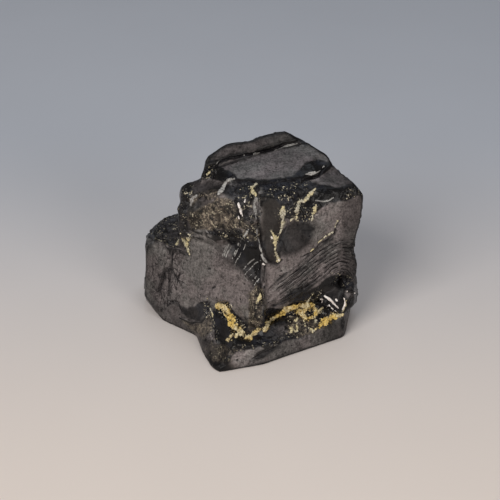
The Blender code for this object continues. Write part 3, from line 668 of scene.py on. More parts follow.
def outline_mask(places, corners, soft):
    """1 inside a closed outline and 0 outside, from the signed distance to its nearest side."""
    corners = np.array(corners, dtype=float)
    inside = np.zeros(len(places), dtype=bool)
    nearest = np.full(len(places), np.inf)
    for start, end in zip(corners, np.roll(corners, -1, axis=0)):
        leg = end - start
        along = np.clip((places - start) @ leg / (leg @ leg), 0.0, 1.0)
        nearest = np.minimum(nearest, np.linalg.norm(places - start - along[:, None] * leg, axis=1))
        spans = (start[1] > places[:, 1]) != (end[1] > places[:, 1])
        if abs(leg[1]) > LEVEL_SIDE:
            crossing = start[0] + (places[:, 1] - start[1]) * leg[0] / leg[1]
            inside ^= spans & (places[:, 0] < crossing)
    signed = np.where(inside, nearest, -nearest)
    return ramp(signed, -soft, soft)


def bent_places(points):
    """Where points land in the picture, shifted by noise so that outlines become ragged."""
    bend = np.stack([layered(points, layers) for layers in EDGE_BENDS], axis=1)
    return in_picture(points) + EDGE_WANDER * bend


def toward_camera(points, normals):
    """1 where the surface faces the camera, 0 where it turns away."""
    sight = eye - points
    sight /= np.linalg.norm(sight, axis=1)[:, None]
    return ramp((sight * normals).sum(axis=1), *FACING)


def patches(points, normals, outlines):
    """Largest share of several outlines, only where the stone faces the camera."""
    places = bent_places(points)
    mask = np.zeros(len(points))
    for share, soft, corners in outlines.values():
        mask = np.maximum(mask, share * outline_mask(places, corners, soft))
    return mask * toward_camera(points, normals)


def tones(points, normals):
    """Painted light and shade: product of all faces' values, each 1 outside its outline, own value inside.
    """
    places, seen = bent_places(points), toward_camera(points, normals)
    tone = np.ones(len(points))
    for value, soft, corners in PAINTED_FACE_LIGHT.values():
        tone *= 1.0 - (1.0 - value) * outline_mask(places, corners, soft) * seen
    return tone * (1.0 - HIDDEN_SHADE * (1.0 - seen))


print({finish: len(outlines) for finish, outlines in PATCHES.items()}, "patches")
print(len(PAINTED_FACE_LIGHT), "tones")

# %% [markdown]
# ## The skin: from the solid to a broken surface
#
# A stone has no formula of two parameters, so this piece isn't drawn on a grid. The solid is copied,
# and Blender's voxel remesh covers it with small even faces, a quarter of a millimetre apart. On
# those, whole arrays of heights are added along the surface's normals. The result is then thinned
# again by Decimate, which keeps its faces where the surface bends and spends few on flat cleavage.

# %% Reading and writing meshes as arrays
FINE_PITCH = 0.25


def read_rows(mesh, what):
    """One vector for each vertex, as rows: "co" for places in millimetres, "normal" for normals."""
    rows = np.empty(len(mesh.vertices) * 3)
    mesh.vertices.foreach_get(what, rows)
    return rows.reshape(-1, 3) / (MM if what == "co" else 1.0)


def write_places(mesh, points):
    """Put places in millimetres back into the mesh."""
    mesh.vertices.foreach_set("co", (points * MM).ravel())
    mesh.update()


def with_modifier(mesh, name, kind, may_thin=None, **settings):
    """The mesh as one of Blender's modifiers leaves it, with a vertex group where one is given."""
    carrier = bpy.data.objects.new(name, mesh)
    bpy.context.scene.collection.objects.link(carrier)
    if may_thin is not None:
        carrier.vertex_groups.new(name="may_thin").add(may_thin.tolist(), 1.0, "REPLACE")
    step = carrier.modifiers.new(name, kind)
    for setting, value in settings.items():
        setattr(step, setting, value)
    view = bpy.context.evaluated_depsgraph_get()
    result = bpy.data.meshes.new_from_object(carrier.evaluated_get(view))
    bpy.data.objects.remove(carrier)
    return result


def mark(mesh, **fields):
    """Store each field as a float on the mesh's points."""
    for name, values in fields.items():
        layer = mesh.attributes.new(name, "FLOAT", "POINT")
        layer.data.foreach_set("value", values.astype(np.float32))


coarse = bpy.data.meshes.new("coarse_skin")
solid.to_mesh(coarse)
skin = with_modifier(coarse, "even_skin", "REMESH", mode="VOXEL", voxel_size=FINE_PITCH * MM)
print("fine skin:", len(skin.vertices), "vertices")


# %% Smoothing away the solid's facets
SMOOTHING_ROUNDS = 6


def edge_pairs(mesh):
    """The two vertex numbers of every edge."""
    ends = np.empty(len(mesh.edges) * 2, dtype=np.int64)
    mesh.edges.foreach_get("vertices", ends)
    return ends.reshape(-1, 2)


def neighbour_mean(values, pairs):
    """Mean of each vertex's neighbours, for rows of vectors or for single numbers."""
    rows = values.reshape(len(values), -1)
    first, second = pairs.T
    count = np.bincount(pairs.ravel(), minlength=len(rows))
    total = np.stack([np.bincount(first, rows[second, axis], len(rows))
                      + np.bincount(second, rows[first, axis], len(rows))
                      for axis in range(rows.shape[1])], axis=1)
    return (total / count[:, None]).reshape(values.shape)


def relaxed(values, pairs, rounds, share=0.6):
    """Values moved towards the mean of their neighbours, again and again."""
    for _ in range(rounds):
        values = values + share * (neighbour_mean(values, pairs) - values)
    return values


pairs = edge_pairs(skin)
points = relaxed(read_rows(skin, "co"), pairs, SMOOTHING_ROUNDS)
write_places(skin, points)
normals = read_rows(skin, "normal")
print("smoothed skin spans", np.round(points.min(axis=0), 1), "to", np.round(points.max(axis=0), 1))

# %% [markdown]
# ### Chips off the edges
#
# Where two faces meet, a real stone has lost small flakes. Each flake is a flat cut: choose a spot on
# a convex edge, lay a slightly tilted plane a little below it, and press whatever stands above the
# plane down onto it. Some three hundred such cuts of all sizes make an edge look broken, not cast.

# %% Chips
CHIP_SEED = 7
CHIP_COUNT = 320
CHIP_REACH = (0.5, 1.6)                  # smallest and largest reach of a chip
CHIP_DEPTH = (0.10, 0.24)                # its depth over its reach
CHIP_TILT = 0.45
CHIP_SOFTENING = 0.4
CHIP_ROUNDS = 12                         # rounds of smoothing that an edge is measured against
CHIP_CREST = 0.06                        # how far a spot stands out where a chip may start
CHIP_ZONE = (1.0, 45.0)                  # heights; the edges above are rounded, not chipped


def bulge(points, normals, pairs, rounds):
    """How far each vertex stands above its surroundings: above 0 on edges, below 0 in creases."""
    return ((points - relaxed(points, pairs, rounds)) * normals).sum(axis=1)


def chipped(points, normals, pairs):
    """Press what stands above small tilted planes down onto them, along the convex edges."""
    dice = np.random.default_rng(CHIP_SEED)
    crest = bulge(points, normals, pairs, CHIP_ROUNDS)
    low, high = CHIP_ZONE
    candidates = np.flatnonzero((crest > CHIP_CREST) & (points[:, 2] > low) & (points[:, 2] < high))
    points = points.copy()
    for spot in dice.choice(candidates, CHIP_COUNT, replace=False):
        reach = dice.uniform(*CHIP_REACH) ** 2 / CHIP_REACH[1]
        plane = normals[spot] + CHIP_TILT * dice.normal(size=3)
        plane /= np.linalg.norm(plane)
        depth = reach * dice.uniform(*CHIP_DEPTH)
        away = points - points[spot]
        near = np.linalg.norm(away, axis=1) < reach
        above = np.clip(away[near] @ plane + depth, 0.0, None)
        points[near] -= above[:, None] * plane
    return points


points = chipped(points, normals, pairs)
points = relaxed(points, pairs, rounds=1, share=CHIP_SOFTENING)
write_places(skin, points)
normals = read_rows(skin, "normal")
print("chipped", CHIP_COUNT, "times")

# %% [markdown]
# ### Relief
#
# The heights are a sum of plain ideas. Everywhere the surface swells a little. Glassy breaks are made
# of small flat shells. Gritty rock is made of grains. The large face on the right has flow ridges:
# long arcs at even distances from one core line, as when a shock runs through glass. Cracks are
# grooves along their lines, and broken shells have thin raised edges.

# %% Flow ridges on the right face
FLOW_CORE = np.array([(0.5, -19.9, 3.7), (25.0, -6.7, 16.2)])
FLOW_PITCH = 1.05
FLOW_BENDS = ((0.7, 6.0, 51), (0.24, 1.9, 302))
FLOW_RISE, FLOW_FALL = 0.7, 0.3          # shares of its pitch over which a ridge rises and falls
FLOW_HEIGHT, FLOW_WEAKEST = 0.20, 0.35   # in millimetres, and the share left where it is weak


def flow_distance(points):
    """Distance from a core line, bent by a little noise: its level lines are the ridges."""
    start, leg = FLOW_CORE[0], FLOW_CORE[1] - FLOW_CORE[0]
    along = np.clip((points - start) @ leg / (leg @ leg), 0.0, 1.0)
    gap = np.linalg.norm(points - start - along[:, None] * leg, axis=1)
    return layered(points, FLOW_BENDS, under=gap)


def flow_ridges(points):
    """A lopsided wave of the distance from the core line, and how strong it is from place to place."""
    phase = (flow_distance(points) / FLOW_PITCH) % 1.0
    saw = np.minimum(phase / FLOW_RISE, (1.0 - phase) / FLOW_FALL) - 0.5
    patchy = ramp(noise(points, 3.0, 608), -0.5, 0.3)
    return FLOW_HEIGHT * saw, FLOW_WEAKEST + (1.0 - FLOW_WEAKEST) * patchy


print("flow ridges every", FLOW_PITCH, "mm")

# %% Where each finish lies, also on the sides that no outline reaches
HIDDEN_GLASS = ((1.0, 9.0, 401), (0.5, 4.0, 402))
HIDDEN_GLASS_EDGE = (0.05, 0.25)
HIDDEN_FINISHES = {                      # (pitch of the noise, seed, and where it starts and is full)
    "gritty": (7.0, 403, 0.35, 0.6),
    "crumbly": (5.0, 404, 0.1, 0.4),
    "crackle": (8.0, 405, 0.0, 0.5),
}


def finishes(points, normals):
    """The masks that relief and colour share: outlines in view, and noise on the hidden sides."""
    mask = {name: patches(points, normals, outlines) for name, outlines in PATCHES.items()}
    hidden = 1.0 - toward_camera(points, normals)
    glass = ramp(layered(points, HIDDEN_GLASS), *HIDDEN_GLASS_EDGE)
    mask["glassy"] = np.maximum(mask["glassy"], glass * hidden)
    for name, (pitch, seed, low, high) in HIDDEN_FINISHES.items():
        share = ramp(noise(points, pitch, seed), low, high)
        if name == "crumbly":
            share *= glass
        mask[name] = np.maximum(mask[name], share * hidden)
    return mask


print("noise places", len(HIDDEN_FINISHES) + 1, "finishes on the hidden sides")

# %% All heights together
SWELLS = ((0.10, 4.2, 601), (0.05, 1.7, 602), (0.02, 0.8, 603))
SHELLS = (0.14, 3.4, 604)                # height, pitch and seed of the facets of glassy breaks
CRUMBS, CRUMB_GRAIN = (0.16, 1.3, 605), (0.08, 0.7, 609)         # facets and noise: crumbly stone
GRIT, GRIT_GRAIN = (0.10, 1.0, 606), (0.10, 0.7, 607)            # facets and noise: gritty stone
FOOT_FADE = (0.1, 1.2)                   # the relief fades out here, so that the stone stands flat


def faceted(points, layer):
    """Facets of a given (height, pitch, seed)."""
    height, pitch, seed = layer
    return height * facets(points, pitch, seed)


def groove(points):
    """Depth of the cracks at each point: nearness to the line times its half-width, as a V."""
    bent = wandered(points, CRACK_WANDER)
    depth = np.zeros(len(points))
    for places in CRACKS.values():
        near = np.clip(nearness(bent, places), 0.0, 1.0)
        depth = np.maximum(depth, CRACK_DEPTH * widest(places) * near)
    return depth


def blade_height(points):
    """Height of the thin raised edges: a rounded crest along each line."""
    height = np.zeros(len(points))
    for places in BLADES.values():
        near = np.clip(nearness(points, places), 0.0, 1.0)
        height = np.maximum(height, BLADE_HEIGHT * widest(places) * near * (2.0 - near))
    return height


def relief(points, normals):
    """Sum of all heights along the normal, in millimetres."""
    mask = finishes(points, normals)
    smooth = 1.0 - np.clip(mask["glassy"] + mask["gritty"], 0.0, 1.0)
    height = layered(points, SWELLS)
    shell_height, shell_pitch, shell_seed = SHELLS
    height += mask["glassy"] * shell_height * facets(points, shell_pitch, shell_seed)
    height += mask["crumbly"] * layered(points, [CRUMB_GRAIN], faceted(points, CRUMBS))
    height += mask["gritty"] * layered(points, [GRIT_GRAIN], faceted(points, GRIT))
    ridges, patchy = flow_ridges(points)
    height += ridges * mask["flow"] * patchy * smooth
    return height + blade_height(points) - groove(points)


height = relief(points, normals) * ramp(points[:, 2], *FOOT_FADE)
points = np.clip(points + height[:, None] * normals, box_low, box_high)
write_places(skin, points)
print("relief from", round(height.min(), 2), "to", round(height.max(), 2), "mm")

# %% Thinning, but not near the lines
SKIN_TRIANGLES = 190000
THIN_GUARD = 0.02                        # how strongly thinning spares the places near the lines
LINE_MARGIN = 0.8                        # how near a line a place has to be for that
CREST_ROUNDS = 30                        # rounds of smoothing that edges and creases are measured by


def near_lines(points, *groups):
    """True for points within the margin of any line."""
    close = np.zeros(len(points), dtype=bool)
    for lines in groups:
        for places in lines.values():
            close |= line_gap(points, places)[0] < LINE_MARGIN
    return close


mark(skin, crest=bulge(points, read_rows(skin, "normal"), pairs, CREST_ROUNDS))
free = np.flatnonzero(~near_lines(points, VEINS, CRUST, POWDER_LINES, PAINTED_GLINTS_AND_BEADS, CRACKS))
thin_share = SKIN_TRIANGLES / (2 * len(skin.polygons))
print(len(points) - len(free), "points stay fine because a line runs near them")
skin = with_modifier(skin, "thin_skin", "DECIMATE", may_thin=free, ratio=thin_share,
                     use_collapse_triangulate=True, vertex_group="may_thin",
                     vertex_group_factor=THIN_GUARD)
skin.name = "stone_skin"
skin.shade_smooth()
points, normals = read_rows(skin, "co"), read_rows(skin, "normal")
crest = np.empty(len(points), dtype=np.float32)
skin.attributes["crest"].data.foreach_get("value", crest)
print("skin:", len(skin.polygons), "triangles")

# %% [markdown]
# ## Marks that the material reads
#
# A material can only be told where it is on the stone by numbers on the mesh. Each mask becomes a
# point attribute: a number from 0 to 1 that Blender blends across the faces. The material turns the
# masks into colour and gloss, and adds the detail that is finer than the mesh.

# %% Marks along the lines
LINE_MARKS = {                           # (lines, reach in half-widths, how far noise bends it)
    "crack": (CRACKS, 1.7, CRACK_WANDER),
    "pale": (VEINS, 2.6, 0.4),
    "rust": (CRUST, 2.0, 0.5),
    # painted shade around the films
    "film_shade": ({**VEINS, **CRUST, **PAINTED_GLINTS_AND_BEADS}, 2.0, 0.3),
}
LINE_CORE = 0.6                          # a mark is full where the nearness is above this
# painted shade: convex rims are tinted near-black and made smoother, and creases are darkened
RIM_SPAN, CREASE_SPAN = (0.025, 0.13), (0.03, 0.20)


def line_mask(points, lines, reach, bend):
    """1 on a set of lines and 0 beyond `reach` times their half-widths."""
    return ramp(best_nearness(wandered(points, bend), lines), 1.0 - reach, LINE_CORE)


masks = finishes(points, normals)
mark(skin, **masks, tone=tones(points, normals), arcs=flow_distance(points),
     rim=ramp(crest, *RIM_SPAN), crease=ramp(-crest, *CREASE_SPAN),
     **{name: line_mask(points, *settings) for name, settings in LINE_MARKS.items()})
print("share of glassy stone:", round(float(masks["glassy"].mean()), 2))

# %% [markdown]
# ## Shader arithmetic that reads like arithmetic
#
# A material is a web of nodes, and a web is hard to read. This small class lets an output take part
# in Python sums: `1 - mask * 0.5` writes two Math nodes. Colours go through Mix nodes instead,
# because a Math node would turn them grey. Every node is made by one method, `node`.

# %% Sums of sockets
class Wire:
    """An output socket that can be added, subtracted, multiplied and divided."""

    def __init__(self, bench, socket):
        self.bench, self.socket = bench, socket

    def math(self, operation, *values):
        """A Math node of these values."""
        return self.bench.node("Math", {"operation": operation}, dict(enumerate(values)))

    def __add__(self, other):
        return self.math("ADD", self, other)

    def __sub__(self, other):
        return self.math("SUBTRACT", self, other)

    def __mul__(self, other):
        return self.math("MULTIPLY", self, other)

    def __truediv__(self, other):
        return self.math("DIVIDE", self, other)

    def __rsub__(self, other):
        return self.math("SUBTRACT", other, self)

    def __rtruediv__(self, other):
        return self.math("DIVIDE", other, self)

    __radd__, __rmul__ = __add__, __mul__

    def most(self, other):
        """The larger of the two."""
        return self.math("MAXIMUM", self, other)

    def fraction(self):
        """What is left when the whole number is taken off."""
        return self.math("FRACT", self)

    def step(self, low, high):
        """0 below low, 1 above high, a smooth step between; turned round where low is above high."""
        span = {"Value": self, "From Min": min(low, high), "From Max": max(low, high)}
        if low > high:
            span.update({"To Min": 1.0, "To Max": 0.0})
        return self.bench.node("MapRange", {"interpolation_type": "SMOOTHSTEP"}, span)


print("wires can be used in sums")

# %% The workbench for materials
MIX_FACTOR, MIX_FIRST, MIX_SECOND, MIX_RESULT = 0, 6, 7, 2      # a colour Mix node's own numbers
LEANING_CELLS = (0.72, 0.78)             # of the small cells' random numbers, those that lean far
SLIGHT_LEAN = 0.2                        # how much all the others lean next to those


class Bench:
    """One material's node tree, with its Principled shader and its coordinates in millimetres."""

    def __init__(self, name):
        self.material = bpy.data.materials.new(name)
        self.material.use_nodes = True
        self.tree = self.material.node_tree
        self.shader = self.tree.nodes["Principled BSDF"]
        place = self.node("TexCoord", output="Object")
        self.place = self.node("VectorMath", {"operation": "SCALE"},
                               {0: place, "Scale": 1.0 / MM})

    def node(self, kind, settings=None, inputs=None, output=0):
        """Add a node: settings first, then values or links for its inputs; give back one output."""
        made = self.tree.nodes.new("ShaderNode" + kind)
        for name, value in (settings or {}).items():
            setattr(made, name, value)
        for name, value in (inputs or {}).items():
            self.plug(made.inputs[name], value)
        return Wire(self, made.outputs[output])

    def plug(self, socket, value):
        """Link a wire to a socket, or set the socket's own value."""
        if isinstance(value, Wire):
            self.tree.links.new(value.socket, socket)
        else:
            socket.default_value = value

    def mask(self, name):
        """A mask stored on the mesh."""
        return self.node("Attribute", {"attribute_name": name}, output="Fac")

    def stretched(self, x, y, z):
        """The coordinates scaled on each axis: below 1 draws the pattern out along it."""
        return self.node("VectorMath", {"operation": "MULTIPLY"}, {0: self.place, 1: (x, y, z)})

    def noise(self, pitch, detail=2.0, rough=0.5, place=None):
        """Noise in 0..1 whose features are about `pitch` millimetres wide."""
        return self.node("TexNoise", {}, {"Vector": place or self.place, "Scale": 1.0 / pitch,
                                          "Detail": detail, "Roughness": rough}, output="Fac")

    def cells(self, pitch, feature="F1", place=None, output="Distance"):
        """Voronoi cells about `pitch` millimetres wide: distance to the seed, or the cell's colour."""
        return self.node("TexVoronoi", {"feature": feature},
                         {"Vector": place or self.place, "Scale": 1.0 / pitch}, output=output)

    def dice(self, pitch, part):
        """A random number in 0..1 for each small cell; part 0, 1 or 2 gives three different ones."""
        colour = self.cells(pitch, output="Color")
        return self.node("SeparateColor", {}, {0: colour}, output=part)

    def tint(self, factor, below, above, blend="MIX"):
        """Colour that goes from one to the other as the factor goes from 0 to 1."""
        return self.node("Mix", {"data_type": "RGBA", "blend_type": blend},
                         {MIX_FACTOR: factor, MIX_FIRST: below, MIX_SECOND: above}, MIX_RESULT)

    def shade(self, colour, amount):
        """A colour made lighter or darker: each part times the same amount."""
        grey = self.node("CombineColor", {}, {0: amount, 1: amount, 2: amount})
        return self.tint(1.0, colour, grey, blend="MULTIPLY")

    def bump(self, height, distance, strength, under=None):
        """Normal tilted by a height field in 0..1, times a distance in millimetres."""
        inputs = {"Height": height, "Distance": distance * MM, "Strength": strength}
        if under is not None:
            inputs["Normal"] = under
        return self.node("Bump", {}, inputs, output="Normal")

    def crystal(self, pitch, amount, under):
        """Normal that leans a little in every small cell and far in a quarter of them, to glint."""
        dice = self.cells(pitch, output="Color")
        chosen = self.node("SeparateColor", {}, {0: dice}, output=2).step(*LEANING_CELLS)
        lean = self.node("VectorMath", {"operation": "SUBTRACT"}, {0: dice, 1: (0.5, 0.5, 0.5)})
        lean = self.node("VectorMath", {"operation": "SCALE"},
                         {0: lean, "Scale": amount * (SLIGHT_LEAN + chosen)})
        tilted = self.node("VectorMath", {"operation": "ADD"}, {0: under, 1: lean})
        return self.node("VectorMath", {"operation": "NORMALIZE"}, {0: tilted})

    def finish(self, **sockets):
        """Fill the shader's sockets by name and give back the material."""
        for name, value in sockets.items():
            self.plug(self.shader.inputs[name.replace("_", " ")], value)
        return self.material


print("the workbench is ready")

# %% [markdown]
# ## The stone's own finish
#
# Satin shungite is a very dark grey with a soft metallic sheen, so its base is a mid-dark grey with
# some Metallic and a middling roughness. A glassy break is nearly black and smooth, and shows mostly
# what it mirrors. The colour is laid in layers: first the rock with the painted light and shade of its
# faces, then painted shade on the rims, in the creases and around the films, and the black of the
# cracks, then the dust of the minerals that grew on it.

# %% Colours of the rock
SATIN = (0.172, 0.151, 0.148, 1.0)
SATIN_GREEN = (0.150, 0.141, 0.135, 1.0)
GLASS = (0.0080, 0.0075, 0.0075, 1.0)
GLASS_BLUE = (0.0120, 0.0125, 0.0165, 1.0)
SHALE = (0.042, 0.034, 0.029, 1.0)
SHALE_LIGHT = (0.26, 0.215, 0.16, 1.0)
INNER_BROWN = (0.060, 0.052, 0.047, 1.0)
# near-black of cracks and fine dark lines, and of the painted shade in creases and around the films
CRACK_BLACK_AND_SHADE = (0.008, 0.007, 0.008, 1.0)
CREAM_DUST = (0.52, 0.46, 0.33, 1.0)
OCHRE_DUST = (0.28, 0.19, 0.06, 1.0)
print("satin is", round(SATIN[0] / GLASS[0]), "times as light as glass")

# %% Light and dark in the satin
DARKEST = 0.16                           # what is left of the colour where every pattern is dark
BANDS = {                                # share of the light, and where its noise turns light
    "mottle": (0.54, 0.34, 0.66),
    "grain": (0.70, 0.36, 0.64),
    "upright": (0.32, 0.34, 0.66),
    "level": (0.24, 0.34, 0.66),
}
UPRIGHT, LEVEL = (1.0, 1.0, 0.16), (0.14, 1.0, 1.0)              # how streaks are drawn out


def satin_pattern(bench):
    """How light and how dark the satin is from place to place: fine grain, mottles and streaks."""
    fields = {
        "mottle": bench.noise(1.7, detail=5.0, rough=0.68),
        "grain": bench.noise(0.55, detail=3.0, rough=0.75),
        "upright": bench.noise(0.6, detail=4.0, rough=0.65, place=bench.stretched(*UPRIGHT)),
        "level": bench.noise(0.6, detail=4.0, rough=0.65, place=bench.stretched(*LEVEL)),
    }
    pattern = DARKEST
    for name, (share, low, high) in BANDS.items():
        pattern = pattern + fields[name].step(low, high) * share
    return fields["mottle"], fields["grain"], pattern


print(len(BANDS), "patterns make the satin")

# %% Fine dark lines
CRACKLE_STRETCH = (1.0, 1.0, 0.45)
CRACKLE_SHARE, FINE_SHARE = 0.75, 0.55
FINE_LINE_PITCH = 0.37                   # pitch of the fine flow lines, over the ridges' pitch


def flow_lines(bench, grain):
    """Dark lines in the valleys of the ridges, with finer ones between, broken up by noise."""
    arcs = bench.mask("arcs") + (grain - 0.5) * 0.25
    turn = (arcs / FLOW_PITCH).fraction()
    broad = turn.step(0.30, 0.06).most(turn.step(0.84, 0.98))
    fine = (arcs / (FLOW_PITCH * FINE_LINE_PITCH)).fraction().step(0.5, 0.1) * FINE_SHARE
    broad = broad * bench.noise(2.0, detail=3.0).step(0.42, 0.54)
    fine = fine * bench.noise(1.4, detail=3.0).step(0.44, 0.58)
    return broad.most(fine) * bench.mask("flow")


def dark_lines(bench, grain):
    """Pits, crackle and flow lines: 1 where a fine dark line runs."""
    pits = bench.cells(1.7).step(0.20, 0.08) * bench.noise(3.0).step(0.48, 0.58)
    place = bench.stretched(*CRACKLE_STRETCH)
    crackle = bench.cells(0.85, feature="DISTANCE_TO_EDGE", place=place).step(0.17, 0.05)
    crackle = crackle * bench.noise(1.6, detail=3.0).step(0.46, 0.54) * bench.mask("crackle")
    return pits.most(crackle * CRACKLE_SHARE).most(flow_lines(bench, grain))


print("fine flow lines every", round(FLOW_PITCH * FINE_LINE_PITCH, 2), "mm")

# %% Glass, shale and dust
SPECK_PITCH, DUST_PITCH = 0.33, 0.30
PALE_SPECKS, RUST_SPECKS, STRAY_SPECKS = (0.78, 0.97), (0.60, 0.90), (0.82, 0.95)
DUST_SHARE = 0.6                         # of the dust near films, and of the stray dust on grit


def glass_colour(bench, clouds, mottle):
    """Nearly black, bluish in places."""
    glass = bench.tint(clouds.step(0.45, 0.6), GLASS, GLASS_BLUE)
    return bench.shade(glass, 0.2 + mottle * 1.6)


def shale_colour(bench):
    """Dark brown with light grains, in light and dark patches."""
    grit = bench.noise(0.8, detail=5.0, rough=0.8).step(0.44, 0.70)
    specks = bench.dice(SPECK_PITCH, 0).step(0.86, 0.97) * 0.8
    shale = bench.tint(grit.most(specks), SHALE, SHALE_LIGHT)
    return bench.shade(shale, bench.noise(3.0, detail=3.0).step(0.32, 0.68) * 1.3 + 0.35)


def dusted(bench, rock, gritty):
    """The rock with specks of cream and ochre near the films, and stray ones where it crumbles."""
    dust = bench.dice(DUST_PITCH, 1)
    pale = bench.mask("pale") * dust.step(*PALE_SPECKS) * DUST_SHARE
    rust = bench.mask("rust") * dust.step(*RUST_SPECKS) * DUST_SHARE
    loose = bench.mask("crumbly").most(gritty * DUST_SHARE)
    stray = loose * dust.step(*STRAY_SPECKS) * bench.noise(2.0).step(0.46, 0.58)
    rock = bench.tint(pale.most(stray), rock, CREAM_DUST)
    return bench.tint(rust, rock, OCHRE_DUST)


print("specks of dust are", DUST_PITCH, "mm apart")

# %% The whole finish
# RIM_COVER: how far the painted shade on convex rims covers the rock
LINE_COVER, RIM_COVER = 0.95, 0.95       # how far the dark of lines and of edges covers the rock
# how far the painted shade in creases and around the films, and the black of cracks, cover the rock
SHADE_AND_CRACK_COVER = {"crease": 0.75, "crack": 1.0, "film_shade": 0.7}
SMOOTHEST = 0.10
METAL_SHARE = 0.62
SATIN_ROUGHNESS = 0.55
BRIGHT_SMOOTHS, GLASS_SMOOTHS, DULL_ROUGHENS = 0.12, 0.22, 0.25
UNEVEN_GLOSS = 0.2
GRAIN_BUMP, MOTTLE_BUMP, LINE_BUMP = (0.12, 0.55), (0.22, 0.40), (0.14, 0.9)     # depth, strength
GLITTER_PITCH = 0.55


def shungite_finish():
    """Satin cleavage, glassy breaks, brown grit, cracks, mineral dust and painted shade in one material."""
    bench = Bench("shungite")
    # painted highlights: glassy places are made satin again where they shine
    glassy = (bench.mask("glassy") - bench.mask("sheen")).most(0.0)
    gritty, tone, rim = bench.mask("gritty"), bench.mask("tone"), bench.mask("rim")
    mottle, grain, pattern = satin_pattern(bench)
    lines = dark_lines(bench, grain)
    clouds = bench.noise(8.0, detail=3.0)

    satin = bench.tint(clouds.step(0.42, 0.62), SATIN, SATIN_GREEN)
    # painted light and shade of each face makes the satin and the brown lighter or darker
    satin = bench.shade(satin, pattern * tone)
    satin = bench.tint(lines * LINE_COVER, satin, CRACK_BLACK_AND_SHADE)
    brown_face = bench.shade(INNER_BROWN, (0.3 + mottle * 0.8 + grain * 0.6) * tone)
    rock = bench.tint(bench.mask("brown"), satin, brown_face)
    rock = bench.tint(glassy, rock, glass_colour(bench, clouds, mottle))
    rock = bench.tint(gritty, rock, shale_colour(bench))
    # painted shade on convex rims, in the near-black of glass; below, they are also smoother and less
    # metallic
    rock = bench.tint(rim * RIM_COVER, rock, GLASS)
    # painted shade in creases and around the films, and the black of the cracks
    for name, cover in SHADE_AND_CRACK_COVER.items():
        rock = bench.tint(bench.mask(name) * cover, rock, CRACK_BLACK_AND_SHADE)
    rock = dusted(bench, rock, gritty)

    dull = gritty.most(bench.mask("crack"))
    rough = SATIN_ROUGHNESS - tone * BRIGHT_SMOOTHS - glassy.most(rim) * GLASS_SMOOTHS
    rough = rough + dull * DULL_ROUGHENS
    rough = rough + (grain - 0.5) * UNEVEN_GLOSS + (mottle - 0.5) * UNEVEN_GLOSS
    metal = (1.0 - glassy) * (1.0 - dull) * (1.0 - rim * 0.9) * METAL_SHARE
    tilt = bench.bump(grain, *GRAIN_BUMP)
    tilt = bench.bump(mottle, *MOTTLE_BUMP, under=tilt)
    tilt = bench.bump(1.0 - lines, *LINE_BUMP, under=tilt)
    tilt = bench.crystal(GLITTER_PITCH, bench.mask("crumbly"), tilt)
    return bench.finish(Base_Color=rock, Roughness=rough.most(SMOOTHEST), Metallic=metal,
                        Normal=tilt, IOR=1.5, Specular_IOR_Level=0.16)


SHUNGITE = shungite_finish()
print("the stone's material has", len(SHUNGITE.node_tree.nodes), "nodes")


# %% From a mesh to a piece of the stone
def make_piece(name, mesh, material):
    """Turn a finished mesh into a piece that rides with the stone."""
    mesh.name = name
    mesh.materials.clear()
    mesh.materials.append(material)
    piece = bpy.data.objects.new(name, mesh)
    bpy.context.scene.collection.objects.link(piece)
    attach(piece, "root")
    return piece


stone_piece = make_piece("stone_skin", skin, SHUNGITE)
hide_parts(STONE)
print(stone_piece.name, "takes the place of", STONE)

# %% [markdown]
# ## Films that grew on the stone
#
# The ochre crust, the cream veins and the white powder in the joints lie on the rock like icing that
# has set, and so do the painted glints: white slivers where highlights shine. Each is made from the
# skin's own faces: those near its lines are copied, divided more finely, and raised by a height that is
# above the rock at the line's middle and a little below it outside. Where the height passes through
# zero, the film has its ragged edge, and nothing has to be trimmed.

# %% Growing a film
FILM_SPLITS = 1                          # how often each face is divided in four
FILM_BEND, FILM_BEND_PITCH = 0.15, 0.9   # how far and how finely noise bends a film's lines
FILM_BEND_SEEDS = (701, 702, 703)
FILM_RANGE = (-0.6, 0.9)                 # lowest and highest, in thicknesses
FILM_NOISE = ((1.0, 1.5, 713), (0.5, 0.5, 714))
KNOB_SEEDS = (711, 712)
KNOB_BEND = 0.35                         # how far noise bends the knobs, in knob pitches
KNOB_LEVEL = 0.35                        # the part of a knob that is sunk in the film
SMALL_KNOB = 0.45                        # pitch and height of a small knob over a large one's
SMALL_KNOB_LIGHT = 0.4                   # how much a small knob counts where tops are coloured
SMALL_KNOB_SPAN = (-0.1, 0.2)            # small knobs fade in over this part of the film's height


def near_faces(mesh, inside):
    """A copy of the mesh that keeps only the faces with a vertex marked as inside."""
    patch = bmesh.new()
    patch.from_mesh(mesh)
    patch.verts.ensure_lookup_table()
    keep = set(np.flatnonzero(inside).tolist())
    away = [face for face in patch.faces if not any(v.index in keep for v in face.verts)]
    bmesh.ops.delete(patch, geom=away, context="FACES")
    result = bpy.data.meshes.new("patch")
    patch.to_mesh(result)
    patch.free()
    return result


